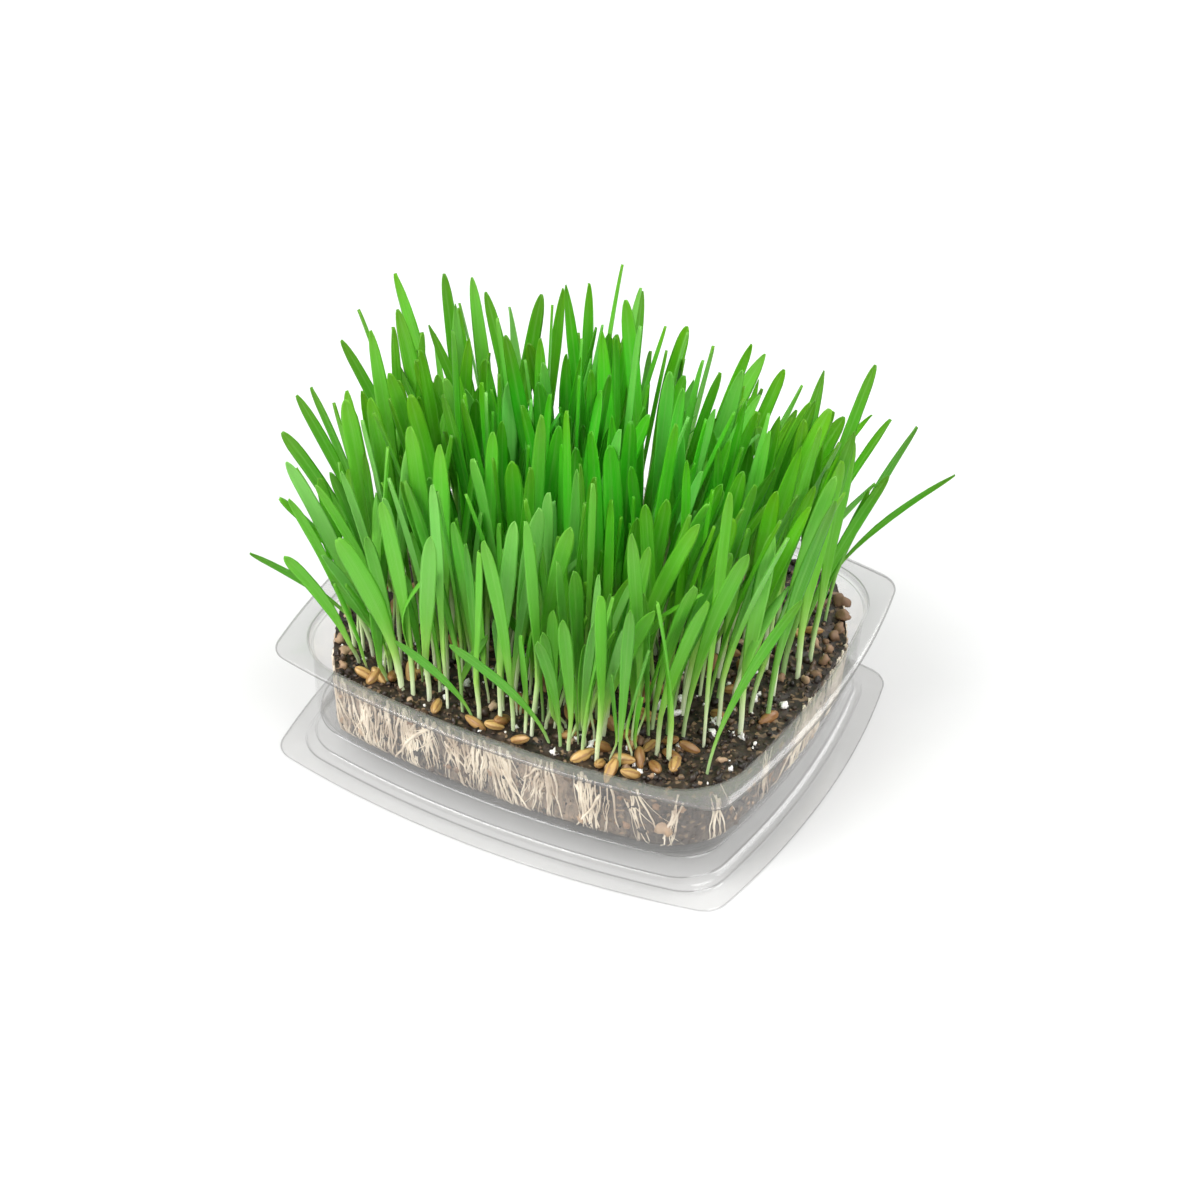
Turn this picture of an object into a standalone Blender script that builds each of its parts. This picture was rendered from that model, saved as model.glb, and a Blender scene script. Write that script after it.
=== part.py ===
"""Wheatgrass growing in a clear plastic tub that stands on its own upturned lid.

X runs along the tub's long side, and the origin is on the table under the middle of the tub.
The lid, the tub and the soil are lofts between rings of one outline. The grass stands in rows: each row is a
strip of knitted roots in a slot in the soil, with its shoots fused to it.
"""

import math
import random

import bmesh
import bpy
from mathutils import Vector, noise
from mathutils.bvhtree import BVHTree
from mathutils.geometry import delaunay_2d_cdt

# Outline of the flange, in metres: four bowed sides that meet in small round ears.
LENGTH = 0.160
WIDTH = 0.1448
SHORT_SIDE_BOW = 0.0067
LONG_SIDE_BOW = 0.0087
EAR_RADIUS = 0.0089

# Heights of the stack above the table.
SHEET = 0.0007
GAP = 0.0003
LID_FLANGE_TOP = SHEET
LID_HEIGHT = 0.0107
TUB_FLOOR_TOP = LID_HEIGHT + GAP + SHEET
TUB_TOP = 0.0378
SOIL_TOP = 0.0345

# Each ring: how far the short and the long sides are set in, the corner radius and the height.
TUB_RINGS = (
    (0.0000, 0.0000, EAR_RADIUS, TUB_TOP),
    (0.0062, 0.0054, 0.0235, TUB_TOP),
    (0.0068, 0.0060, 0.0245, TUB_TOP - 0.0009),
    (0.0080, 0.0066, 0.0245, TUB_FLOOR_TOP + 0.0038),
    (0.0088, 0.0074, 0.0235, TUB_FLOOR_TOP + 0.0012),
    (0.0109, 0.0095, 0.0215, TUB_FLOOR_TOP),
)
LID_RINGS = (
    (0.0000, 0.0000, EAR_RADIUS, LID_FLANGE_TOP),
    (0.0062, 0.0054, 0.0155, LID_FLANGE_TOP),
    (0.0067, 0.0059, 0.0172, LID_FLANGE_TOP + 0.0009),
    (0.0079, 0.0071, 0.0170, LID_HEIGHT - 0.0012),
    (0.0092, 0.0084, 0.0160, LID_HEIGHT),
)
SHEET_STEPS = (3, 5)

# Soil: how far it stays off the tub's wall, how far it has shrunk from two opposite corners, and the relief of its
# sides and its top.
SOIL_INSET = 0.0011
SHRUNK_WAY = (0.860, 0.510)
SHRUNK_REACH = 0.0758
SHRINKAGE = 0.8
ROOT_RIDGE = 0.0006
SOIL_STEPS = (6, 6)
RELIEF = 0.0012
RELIEF_SHARES = (0.7, 0.5)
RELIEF_SCALE = 0.011
FINE_RELIEF = 2.7

# The staggered grid of points that the soil's top is drawn through, in pitches.
RELIEF_PITCH = 0.0115
GRID_REACH = 9
GRID_ROW = 0.87
GRID_SHIFT = 0.22
GRID_MARGIN = 0.45

# Loose lumps in the soil's surface: name, how many, and their three diameters.
LUMPS = (
    ("kernel", 14, (0.0076, 0.0036, 0.0034)),
    ("perlite", 9, (0.0026, 0.0023, 0.0022)),
    ("pebble", 11, (0.0048, 0.0042, 0.0038)),
)

LUMP_TURN = 0.14
LUMP_SHIFT = 0.0005
LUMP_SPACING = 0.0085
LUMP_RISE = 0.12
LUMP_TILT = 0.35

# Rows of grass and the strips that they grow from.
ROWS = 12
ROW_PITCH = 0.0104
STRIP_WIDTH = 0.0032
STRIP_DEPTH = 0.0090
STRIP_TOP = SOIL_TOP - 0.0010
STRIP_EDGE = 0.0036
STRIP_MEASURE = 0.0005
EDGE_MARGIN = 0.0060
BARE_CORNER = 0.096
ROOT_SPACING = 0.0055
ROOT_SHIFT = 0.0003
ROOT_SUNK = 0.0030

# Stations up a shoot: share of its height, and its width as a share of the blade's.
STATIONS = ((0.00, 0.36), (0.10, 0.38), (0.34, 0.48), (0.60, 0.94), (0.88, 0.84))
SECOND_LEAF = ((0.00, 0.30), (0.35, 0.80), (0.75, 0.85))
SECOND_LEAF_FROM = 0.32
SECOND_LEAF_SHARE = 0.10
SECOND_LEAF_SIZE = (0.75, 0.42)
SECOND_LEAF_TURN = 2.2
SECOND_LEAF_SINK = 0.002
SECOND_LEAF_BOW = 0.005
SECOND_LEAF_SPREAD = 0.011
BLADE_DEPTH = 0.0009
STEM_DEPTH = 0.78
CLEARANCE = 0.0003

# Size of the shoots above the soil, and how far the outer ones lean out.
SHOOT_HEIGHT = 0.075
FRONT_HEIGHT = 0.062
BACK_HEIGHT = 0.065
BACK_RIGHT_HEIGHT = 0.051
FRONT_FADE = (-0.028, -0.030)
BACK_FADE = (0.015, 0.035)
RIGHT_FADE = (-0.010, 0.050)
HEIGHT_SPREAD = 0.0085
BLADE_WIDTH = (0.0044, 0.0066)
LEAN_OUT = (0.015, 0.010)
LEAN_SPREAD = 0.0070
LEAN_CURVE = 1.7
STEM_BEND = 0.0030
BEND_FADE = (0.08, 0.26)
FACING = math.radians(-64)
FACING_SPREAD = math.radians(52)
TWIST = math.radians(38)
GROWTH_X = 0.088
GROWTH_Y = 0.078
GROWTH_TOP = 0.1395
GROWTH_MARGIN = 0.001
TRIES = 60
NEIGHBOURHOOD = 0.045
SOIL_SEED = 7
GRASS_SEED = 11

# Finishes: colour, roughness and opacity.
CLEAR_PLASTIC = ((0.86, 0.87, 0.86), 0.12, 0.35)
EARTH = ((0.055, 0.036, 0.024), 0.95, 1.0)
GREEN = ((0.115, 0.42, 0.045), 0.45, 1.0)

# Shoots that stand apart from the rest: root, tip, and blade width.
LONE_SHOOTS = (
    ((-0.0600, -0.0364), (-GROWTH_X, -0.0503, 0.0589), 0.0040),
    ((0.0540, 0.0468), (GROWTH_X, 0.0576, 0.0842), 0.0036),
    ((0.0170, -0.0572), (-0.0084, -0.0700, 0.0675), 0.0046),
    ((-0.0080, -0.0572), (-0.0290, -0.0650, 0.0580), 0.0044),
    ((0.0605, -0.0468), (0.0790, -0.0350, 0.0923), 0.0048),
    ((0.0200, -0.0572), (0.0230, -GROWTH_Y, 0.0850), 0.0052),
    ((-0.0200, 0.0572), (-0.0260, GROWTH_Y, 0.1040), 0.0054),
    ((-0.0560, -0.0260), (-0.0830, -0.0300, 0.1037), 0.0056),
    ((-0.0520, -0.0052), (-0.0770, -0.0150, 0.1163), 0.0058),
    ((-0.0360, 0.0260), (-0.0550, 0.0300, 0.1175), 0.0066),
    ((-0.0160, 0.0260), (-0.0280, 0.0300, 0.1273), 0.0062),
    ((0.0520, 0.0364), (0.0610, 0.0540, 0.1150), 0.0058),
    ((0.0600, 0.0156), (0.0770, 0.0300, 0.0953), 0.0052),
)


def material(name, color, roughness, alpha):
    """A plain finish with the colour and gloss of the real thing."""
    made = bpy.data.materials.new(name)
    made.use_nodes = True
    shader = made.node_tree.nodes["Principled BSDF"]
    shader.inputs["Base Color"].default_value = (*color, 1.0)
    shader.inputs["Roughness"].default_value = roughness
    shader.inputs["Metallic"].default_value = 0.0
    shader.inputs["Alpha"].default_value = alpha
    made.diffuse_color = (*color, alpha)
    return made


def place(name, mesh, finish, collection):
    """Puts a mesh in a collection as a named object."""
    thing = bpy.data.objects.new(name, mesh)
    if finish:
        mesh.materials.append(finish)
    collection.objects.link(thing)
    return thing


def arc(centre, radius, start, end, steps):
    """Points along an arc, the end left out."""
    turns = [start + (end - start) * step / steps for step in range(steps)]
    return [(centre[0] + radius * math.cos(turn), centre[1] + radius * math.sin(turn)) for turn in turns]


def outline(inset_x, inset_y, corner, steps):
    """The tub's outline with its sides set in, counter-clockwise from the middle of the +X side.

    Each side is an arc, and each corner is a fillet that touches both of its sides.
    """
    side_steps, corner_steps = steps
    half_x = LENGTH / 2 - SHORT_SIDE_BOW
    half_y = WIDTH / 2 - LONG_SIDE_BOW
    short_radius = (half_y**2 + SHORT_SIDE_BOW**2) / (2 * SHORT_SIDE_BOW)
    long_radius = (half_x**2 + LONG_SIDE_BOW**2) / (2 * LONG_SIDE_BOW)
    short_centre = LENGTH / 2 - short_radius
    long_centre = WIDTH / 2 - long_radius
    short_radius -= inset_x
    long_radius -= inset_y
    # The fillet's centre is where two circles about the sides' own centres cross.
    from_short = short_radius - corner
    from_long = long_radius - corner
    apart = math.hypot(short_centre, long_centre)
    along = (from_short**2 - from_long**2 + apart**2) / (2 * apart)
    aside = math.sqrt(from_short**2 - along**2)
    unit = (-short_centre / apart, long_centre / apart)
    centre = (short_centre + along * unit[0] - aside * unit[1], along * unit[1] + aside * unit[0])
    turn_short = math.atan2(centre[1], centre[0] - short_centre)
    turn_long = math.atan2(centre[1] - long_centre, centre[0])
    quarter = arc((short_centre, 0), short_radius, 0, turn_short, side_steps)
    quarter += arc(centre, corner, turn_short, turn_long, corner_steps)
    quarter += arc((0, long_centre), long_radius, turn_long, math.pi / 2, side_steps)
    quarter.append((0.0, long_centre + long_radius))
    half = quarter + [(-x, y) for x, y in reversed(quarter[:-1])]
    return half + [(x, -y) for x, y in reversed(half[1:-1])]


def ring_points(ring, steps):
    """A ring's points in space."""
    inset_x, inset_y, corner, height = ring
    return [(x, y, height) for x, y in outline(inset_x, inset_y, corner, steps)]


def loft(rings):
    """Quads between rings with the same number of points, given from the top down, as a bmesh and its rings."""
    bm = bmesh.new()
    made = [[bm.verts.new(point) for point in ring] for ring in rings]
    for upper, lower in zip(made, made[1:]):
        for index in range(len(upper)):
            after = (index + 1) % len(upper)
            bm.faces.new((upper[index], lower[index], lower[after], upper[after]))
    return bm, made


def sheet_piece(name, rings, finish, collection):
    """A formed sheet: its upper face as a loft closed by a flat panel, given the sheet's thickness below."""
    bm, made = loft([ring_points(ring, SHEET_STEPS) for ring in rings])
    bm.faces.new(made[-1])
    bmesh.ops.recalc_face_normals(bm, faces=bm.faces)
    bm.normal_update()
    if bm.faces[:][-1].normal.z < 0:
        bmesh.ops.reverse_faces(bm, faces=bm.faces)
    mesh = bpy.data.meshes.new(name)
    bm.to_mesh(mesh)
    bm.free()
    piece = place(name, mesh, finish, collection)
    wall = piece.modifiers.new("sheet thickness", "SOLIDIFY")
    wall.thickness = SHEET
    wall.offset = -1.0
    wall.use_even_offset = True
    mesh.shade_smooth()
    mesh.set_sharp_from_angle(angle=math.radians(35))
    return piece


def relief(x, y):
    """Height of the soil's surface: low crumbly mounds, with no pattern."""
    broad = noise.noise(Vector((x, y, 0.0)) / RELIEF_SCALE)
    fine = noise.noise(Vector((x, y, RELIEF_SCALE)) * FINE_RELIEF / RELIEF_SCALE)
    return SOIL_TOP + RELIEF * (RELIEF_SHARES[0] * broad + RELIEF_SHARES[1] * fine)


def shrunk(x, y):
    """A point of the soil's outline, drawn back if it lies in the front left or the back right corner."""
    reach = x * SHRUNK_WAY[0] + y * SHRUNK_WAY[1]
    over = math.copysign(max(0.0, abs(reach) - SHRUNK_REACH), reach) * SHRINKAGE
    return x - over * SHRUNK_WAY[0], y - over * SHRUNK_WAY[1]


def soil_rings():
    """Rings up the soil's side, from its rim down: the tub's own, set in, with root ridges standing out of it."""
    wall_top, wall_bottom = TUB_RINGS[2], TUB_RINGS[3]
    share = (wall_top[3] - SOIL_TOP) / (wall_top[3] - wall_bottom[3])
    rim = tuple(top + (bottom - top) * share for top, bottom in zip(wall_top, wall_bottom))
    levels = [rim, wall_bottom, TUB_RINGS[4], TUB_RINGS[5]]
    rings = []
    for level, (inset_x, inset_y, corner, height) in enumerate(levels):
        corner -= SOIL_INSET
        inner = outline(inset_x + SOIL_INSET, inset_y + SOIL_INSET, corner, SOIL_STEPS)
        outer = outline(
            inset_x + SOIL_INSET - ROOT_RIDGE,
            inset_y + SOIL_INSET - ROOT_RIDGE,
            corner + ROOT_RIDGE,
            SOIL_STEPS,
        )
        ridged = 0 < level < len(levels) - 1
        lift = GAP if level == len(levels) - 1 else 0.0
        points = [
            (*shrunk(*(outer[index] if ridged and index % 2 else inner[index])), height + lift)
            for index in range(len(inner))
        ]
        if level == 0:
            points = [(x, y, relief(x, y)) for x, y, _ in points]
        rings.append(points)
    return rings


def inside(x, y, ring, margin):
    """Whether a point lies inside a convex ring of points and at least a margin from its edge."""
    for (ax, ay, _), (bx, by, _) in zip(ring, ring[1:] + ring[:1]):
        side = (bx - ax) * (y - ay) - (by - ay) * (x - ax)
        if side < margin * math.hypot(bx - ax, by - ay):
            return False
    return True


def scattered(draw, ring, pitch):
    """Points on a staggered grid inside a ring, each moved a little at random."""
    found = []
    for row in range(-GRID_REACH, GRID_REACH + 1):
        for column in range(-GRID_REACH, GRID_REACH + 1):
            x = (column + 0.5 * (row % 2) + draw.uniform(-GRID_SHIFT, GRID_SHIFT)) * pitch
            y = (row * GRID_ROW + draw.uniform(-GRID_SHIFT, GRID_SHIFT)) * pitch
            if inside(x, y, ring, pitch * GRID_MARGIN):
                found.append((x, y))
    return found


def soil_block(draw, finish, collection):
    """The soil before anything is cut from it: ridged sides, flat bottom and crumbly top."""
    rings = soil_rings()
    bm, made = loft(rings)
    bm.faces.new(reversed(made[-1]))
    rim = [Vector((x, y)) for x, y, _ in rings[0]]
    flat = rim + [Vector(point) for point in scattered(draw, rings[0], RELIEF_PITCH)]
    edges = [(index, (index + 1) % len(rim)) for index in range(len(rim))]
    points, _, faces, sources, _, _ = delaunay_2d_cdt(flat, edges, [], 1, 1e-6)
    corners = []
    for point, source in zip(points, sources):
        on_rim = [index for index in source if index < len(rim)]
        corners.append(made[0][on_rim[0]] if on_rim else bm.verts.new((*point, relief(*point))))
    for face in faces:
        bm.faces.new([corners[index] for index in face])
    bmesh.ops.recalc_face_normals(bm, faces=bm.faces)
    mesh = bpy.data.meshes.new("soil")
    bm.to_mesh(mesh)
    bm.free()
    return place("soil", mesh, finish, collection)


def box(name, low, high, collection):
    """A plain box between two corners."""
    bm = bmesh.new()
    bmesh.ops.create_cube(bm, size=1.0)
    size = Vector(high) - Vector(low)
    middle = (Vector(high) + Vector(low)) / 2
    bmesh.ops.scale(bm, vec=size, verts=bm.verts)
    bmesh.ops.translate(bm, vec=middle, verts=bm.verts)
    mesh = bpy.data.meshes.new(name)
    bm.to_mesh(mesh)
    bm.free()
    return place(name, mesh, None, collection)


def lump(name, centre, sizes, turn, collection):
    """A small rounded lump: a kernel, a grain of perlite or a pebble."""
    bm = bmesh.new()
    bmesh.ops.create_icosphere(bm, subdivisions=1, radius=0.5)
    bmesh.ops.scale(bm, vec=sizes, verts=bm.verts)
    mesh = bpy.data.meshes.new(name)
    bm.to_mesh(mesh)
    bm.free()
    made = place(name, mesh, None, collection)
    made.location = centre
    made.rotation_euler = (0.0, LUMP_TILT * math.sin(turn / LUMP_TURN), turn)
    return made


def combine(base, helpers, operation):
    """Joins everything in a collection to an object, or cuts it out, and removes the collection's objects."""
    step = base.modifiers.new(operation.lower(), "BOOLEAN")
    step.operation = operation
    step.operand_type = "COLLECTION"
    step.collection = helpers
    with bpy.context.temp_override(object=base, active_object=base, selected_objects=[base]):
        bpy.ops.object.modifier_apply(modifier=step.name)
    for helper in list(helpers.objects):
        bpy.data.objects.remove(helper)


def row_places():
    """Every row's distance along Y."""
    return [(row - (ROWS - 1) / 2) * ROW_PITCH for row in range(ROWS)]


def strip_ends(place_y, rim):
    """Where a row's strip ends on the left and on the right, stopping short of the soil's rim."""
    outer_y = place_y + math.copysign(STRIP_WIDTH / 2, place_y)
    ends = []
    for step in (-STRIP_MEASURE, STRIP_MEASURE):
        end = 0.0
        while inside(end + step, outer_y, rim, STRIP_EDGE):
            end += step
        ends.append(end)
    return ends


def cut_slots(soil, rim, helpers):
    """One plain slot in the soil for each row's strip."""
    for place_y in row_places():
        left, right = strip_ends(place_y, rim)
        low = (left - GAP, place_y - STRIP_WIDTH / 2 - GAP, STRIP_TOP - STRIP_DEPTH - GAP)
        high = (right + GAP, place_y + STRIP_WIDTH / 2 + GAP, SOIL_TOP + 10 * RELIEF)
        box("slot", low, high, helpers)
    combine(soil, helpers, "DIFFERENCE")


def add_lumps(soil, draw, rim, helpers):
    """Spare kernels, perlite and pebbles, half sunk in the soil between the rows."""
    between = [place_y + ROW_PITCH / 2 for place_y in row_places()][:-1]
    taken = []
    for name, count, sizes in LUMPS:
        made = 0
        while made < count:
            x = draw.uniform(-LENGTH / 2, LENGTH / 2)
            y = draw.choice(between) + draw.uniform(-LUMP_SHIFT, LUMP_SHIFT)
            if not inside(x, y, rim, sizes[0] / 2 + CLEARANCE):
                continue
            if any(math.hypot(x - ax, y - ay) < LUMP_SPACING for ax, ay in taken):
                continue
            taken.append((x, y))
            turn = draw.uniform(-LUMP_TURN, LUMP_TURN)
            lump(name, (x, y, relief(x, y) + sizes[2] * LUMP_RISE), sizes, turn, helpers)
            made += 1
    combine(soil, helpers, "UNION")


def shoot_height(x, y, draw):
    """How tall a shoot grows: shorter along the front and the back, and least in the right-hand back corner."""
    front = smooth_step((y - FRONT_FADE[0]) / FRONT_FADE[1])
    back = smooth_step((y - BACK_FADE[0]) / BACK_FADE[1])
    right = smooth_step((x - RIGHT_FADE[0]) / RIGHT_FADE[1])
    back_height = BACK_HEIGHT + (BACK_RIGHT_HEIGHT - BACK_HEIGHT) * right
    height = SHOOT_HEIGHT + (FRONT_HEIGHT - SHOOT_HEIGHT) * front + (back_height - SHOOT_HEIGHT) * back
    return height + draw.gauss(0.0, HEIGHT_SPREAD)


def drawn_shoot(root, draw):
    """One shoot as the rule grows it: leaning out from the middle, the more the further out it stands."""
    x, y = root
    lean_x = LEAN_OUT[0] * x / (LENGTH / 2) + draw.gauss(0.0, LEAN_SPREAD)
    lean_y = LEAN_OUT[1] * y / (WIDTH / 2) + draw.gauss(0.0, LEAN_SPREAD)
    bend = (draw.uniform(-0.5, 0.5) * STEM_BEND, draw.uniform(-1.0, 1.0) * STEM_BEND)
    return {
        "root": root,
        "lean": (lean_x, lean_y),
        "bend": bend,
        "height": shoot_height(x, y, draw),
        "width": draw.uniform(*BLADE_WIDTH),
        "facing": draw.gauss(FACING, FACING_SPREAD),
        "twist": draw.uniform(-TWIST, TWIST),
        "second": draw.random() < SECOND_LEAF_SHARE,
    }


def lone_shoot(root, tip, width, draw):
    """One of the shoots that stand apart, from its root to its tip."""
    return {
        "root": root,
        "lean": (tip[0] - root[0], tip[1] - root[1]),
        "bend": (0.0, 0.0),
        "height": tip[2] - SOIL_TOP,
        "width": width,
        "facing": FACING,
        "twist": draw.uniform(-0.3, 0.3) * TWIST,
        "second": False,
    }


def smooth_step(value):
    """0 below 0, 1 above 1, and an easy rise between."""
    value = min(1.0, max(0.0, value))
    return value * value * (3 - 2 * value)


def centre_at(shoot, share):
    """The middle of a shoot at a share of its height: upright out of its slot, then bending and leaning."""
    bend = smooth_step((share - BEND_FADE[0]) / BEND_FADE[1])
    lean = share**LEAN_CURVE
    x = shoot["root"][0] + shoot["bend"][0] * bend * (1 - share) + shoot["lean"][0] * lean
    y = shoot["root"][1] + shoot["bend"][1] * bend * (1 - share) + shoot["lean"][1] * lean
    foot = STRIP_TOP - ROOT_SUNK
    return Vector((x, y, foot + (SOIL_TOP + shoot["height"] - foot) * share))


def section(centre, along, facing, width, depth):
    """A keeled section round its middle: two edges and the rib behind them."""
    face = Vector((math.cos(facing), math.sin(facing), 0.0))
    side = along.cross(face).normalized()
    front = side.cross(along).normalized()
    edges = centre + front * depth / 3
    return [edges - side * width / 2, edges + side * width / 2, edges - front * depth]


def blade_loft(sections, tip):
    """Corners and faces of a blade from its sections and its tip, closed at the foot."""
    corners = [corner for corners in sections for corner in corners] + [tip]
    faces = [(2, 1, 0)]
    for ring in range(len(sections) - 1):
        first = 3 * ring
        for edge in range(3):
            after = (edge + 1) % 3
            faces.append((first + edge, first + after, first + 3 + after))
            faces.append((first + edge, first + 3 + after, first + 3 + edge))
    last = 3 * (len(sections) - 1)
    faces += [(last + edge, last + (edge + 1) % 3, len(corners) - 1) for edge in range(3)]
    return corners, faces


def first_leaf(shoot, room):
    """The stem and its main blade, made thicker all round by the room that it should have."""
    sections = []
    for share, width in STATIONS:
        centre = centre_at(shoot, share)
        along = (centre_at(shoot, share + 0.02) - centre).normalized()
        facing = shoot["facing"] + shoot["twist"] * share
        depth = BLADE_DEPTH if share > 0.5 else shoot["width"] * width * STEM_DEPTH
        sections.append(section(centre, along, facing, shoot["width"] * width + 2 * room, depth + room))
    return blade_loft(sections, centre_at(shoot, 1.0))


def second_leaf(shoot, room):
    """The younger blade, which leaves the stem a third of the way up, on its far side."""
    facing = shoot["facing"] + SECOND_LEAF_TURN
    size, rise = SECOND_LEAF_SIZE
    foot = centre_at(shoot, SECOND_LEAF_FROM)
    away = Vector((math.cos(facing), math.sin(facing), 0.0))
    tip = foot + Vector((*shoot["lean"], shoot["height"])) * rise + away * SECOND_LEAF_SPREAD
    foot.z -= SECOND_LEAF_SINK
    along = (tip - foot).normalized()
    sections = []
    for share, width in SECOND_LEAF:
        centre = foot.lerp(tip, share) - away * SECOND_LEAF_BOW * math.sin(math.pi * share)
        wide = shoot["width"] * size * width + 2 * room
        sections.append(section(centre, along, facing, wide, BLADE_DEPTH + room))
    return blade_loft(sections, tip)


def shapes_of(shoot, room=0.0):
    """A shoot's closed shapes."""
    made = [first_leaf(shoot, room)]
    if shoot["second"]:
        made.append(second_leaf(shoot, room))
    return made


def tree_of(corners, faces):
    """A search tree over a shape's faces."""
    return BVHTree.FromPolygons([tuple(corner) for corner in corners], faces)


def in_reach(corners):
    """Whether a shape keeps inside the space that the grass fills."""
    reach = (GROWTH_X - GROWTH_MARGIN, GROWTH_Y - GROWTH_MARGIN, GROWTH_TOP)
    return all(abs(value) < limit for corner in corners for value, limit in zip(corner, reach))


def is_clear(shoot, grown):
    """Whether a shoot, with room to spare, crosses none of those that stand already."""
    shapes = [tree_of(*shape) for shape in shapes_of(shoot, CLEARANCE)]
    near = [tree for root, trees in grown if math.dist(root, shoot["root"]) < NEIGHBOURHOOD for tree in trees]
    return not any(shape.overlap(tree) for shape in shapes for tree in near)


def grow(draw, rim):
    """Every row with its shoots: first those that stand apart, then the rest where there is room."""
    rows = [(place_y, []) for place_y in row_places()]
    grown = []
    for root, tip, width in LONE_SHOOTS:
        shoot = lone_shoot(root, tip, width, draw)
        grown.append((root, [tree_of(*shape) for shape in shapes_of(shoot)]))
        row = min(rows, key=lambda entry: abs(entry[0] - root[1]))
        row[1].append(shoot)
    for place_y, shoots in rows:
        steps = int(LENGTH / ROOT_SPACING)
        for step in range(steps):
            x = (step - steps / 2 + draw.uniform(0.2, 0.8)) * ROOT_SPACING
            y = place_y + draw.uniform(-ROOT_SHIFT, ROOT_SHIFT)
            if not inside(x, y, rim, EDGE_MARGIN) or x - y > BARE_CORNER:
                continue
            for _ in range(TRIES):
                shoot = drawn_shoot((x, y), draw)
                shapes = shapes_of(shoot)
                if all(in_reach(corners) for corners, _ in shapes) and is_clear(shoot, grown):
                    grown.append(((x, y), [tree_of(*shape) for shape in shapes]))
                    shoots.append(shoot)
                    break
    return rows


def grass_row(number, place_y, ends, shoots, finish, collection, helpers):
    """One row: its strip of roots with every shoot fused to it."""
    low = (ends[0], place_y - STRIP_WIDTH / 2, STRIP_TOP - STRIP_DEPTH)
    high = (ends[1], place_y + STRIP_WIDTH / 2, STRIP_TOP)
    row = box(f"grass_row_{number:02d}", low, high, collection)
    row.data.materials.append(finish)
    for shoot in shoots:
        for corners, faces in shapes_of(shoot):
            mesh = bpy.data.meshes.new("shoot")
            mesh.from_pydata(corners, [], faces)
            place("shoot", mesh, None, helpers)
    combine(row, helpers, "UNION")
    return row


def clear_scene():
    """Removes what the scene holds at the start."""
    for thing in list(bpy.data.objects):
        bpy.data.objects.remove(thing)


def new_collection(name, shown):
    """A collection in the scene, for parts if it is shown and for helpers if it is not."""
    made = bpy.data.collections.new(name)
    bpy.context.scene.collection.children.link(made)
    made.hide_render = not shown
    return made


def build():
    """The whole tray."""
    clear_scene()
    parts = new_collection("wheatgrass_tray", True)
    helpers = new_collection("helpers", False)
    draw = random.Random(SOIL_SEED)
    clear_sheet = material("clear_plastic", *CLEAR_PLASTIC)
    green = material("grass", *GREEN)
    sheet_piece("lid", LID_RINGS, clear_sheet, parts)
    sheet_piece("tub", TUB_RINGS, clear_sheet, parts)
    rim = soil_rings()[0]
    soil = soil_block(draw, material("soil", *EARTH), parts)
    cut_slots(soil, rim, helpers)
    add_lumps(soil, draw, rim, helpers)
    for number, (place_y, shoots) in enumerate(grow(random.Random(GRASS_SEED), rim), start=1):
        grass_row(number, place_y, strip_ends(place_y, rim), shoots, green, parts, helpers)


build()
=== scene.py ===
"""The looks of a tray of wheatgrass: a clear tub on its own upturned lid, soil, roots and grass."""

import math
import random

import bmesh
import bpy
import numpy as np
from mathutils import Matrix, Vector, noise
from mathutils.bvhtree import BVHTree


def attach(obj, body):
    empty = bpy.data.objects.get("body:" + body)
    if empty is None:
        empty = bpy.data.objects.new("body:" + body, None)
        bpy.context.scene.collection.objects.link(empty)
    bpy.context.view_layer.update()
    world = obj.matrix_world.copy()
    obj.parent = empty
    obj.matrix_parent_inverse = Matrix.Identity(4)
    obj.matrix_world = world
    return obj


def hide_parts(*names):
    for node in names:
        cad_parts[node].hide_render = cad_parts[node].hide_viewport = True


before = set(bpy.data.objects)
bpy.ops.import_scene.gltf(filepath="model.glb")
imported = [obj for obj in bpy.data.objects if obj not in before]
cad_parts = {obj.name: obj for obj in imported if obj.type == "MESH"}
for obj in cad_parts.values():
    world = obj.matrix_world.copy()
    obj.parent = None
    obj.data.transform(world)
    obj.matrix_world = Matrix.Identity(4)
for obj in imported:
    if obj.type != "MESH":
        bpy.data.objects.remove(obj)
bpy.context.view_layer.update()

# The table is a plain pale sheet under soft studio light. The camera stands where the photograph was taken
# from: a little above the tray, looking at the corner where its long front meets its right-hand side.
STAND_HEIGHT = 0.01925
CAMERA_AWAY = 0.7436
CAMERA_ASIDE = (0.0019, 0.0194)
CAMERA_TURN = math.radians(26.32)
CAMERA_RISE = math.radians(35.16)
CAMERA_ROLL = math.radians(2.36)
CAMERA_LENS = 73.28
TABLE_SIZE = 6.0


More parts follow.
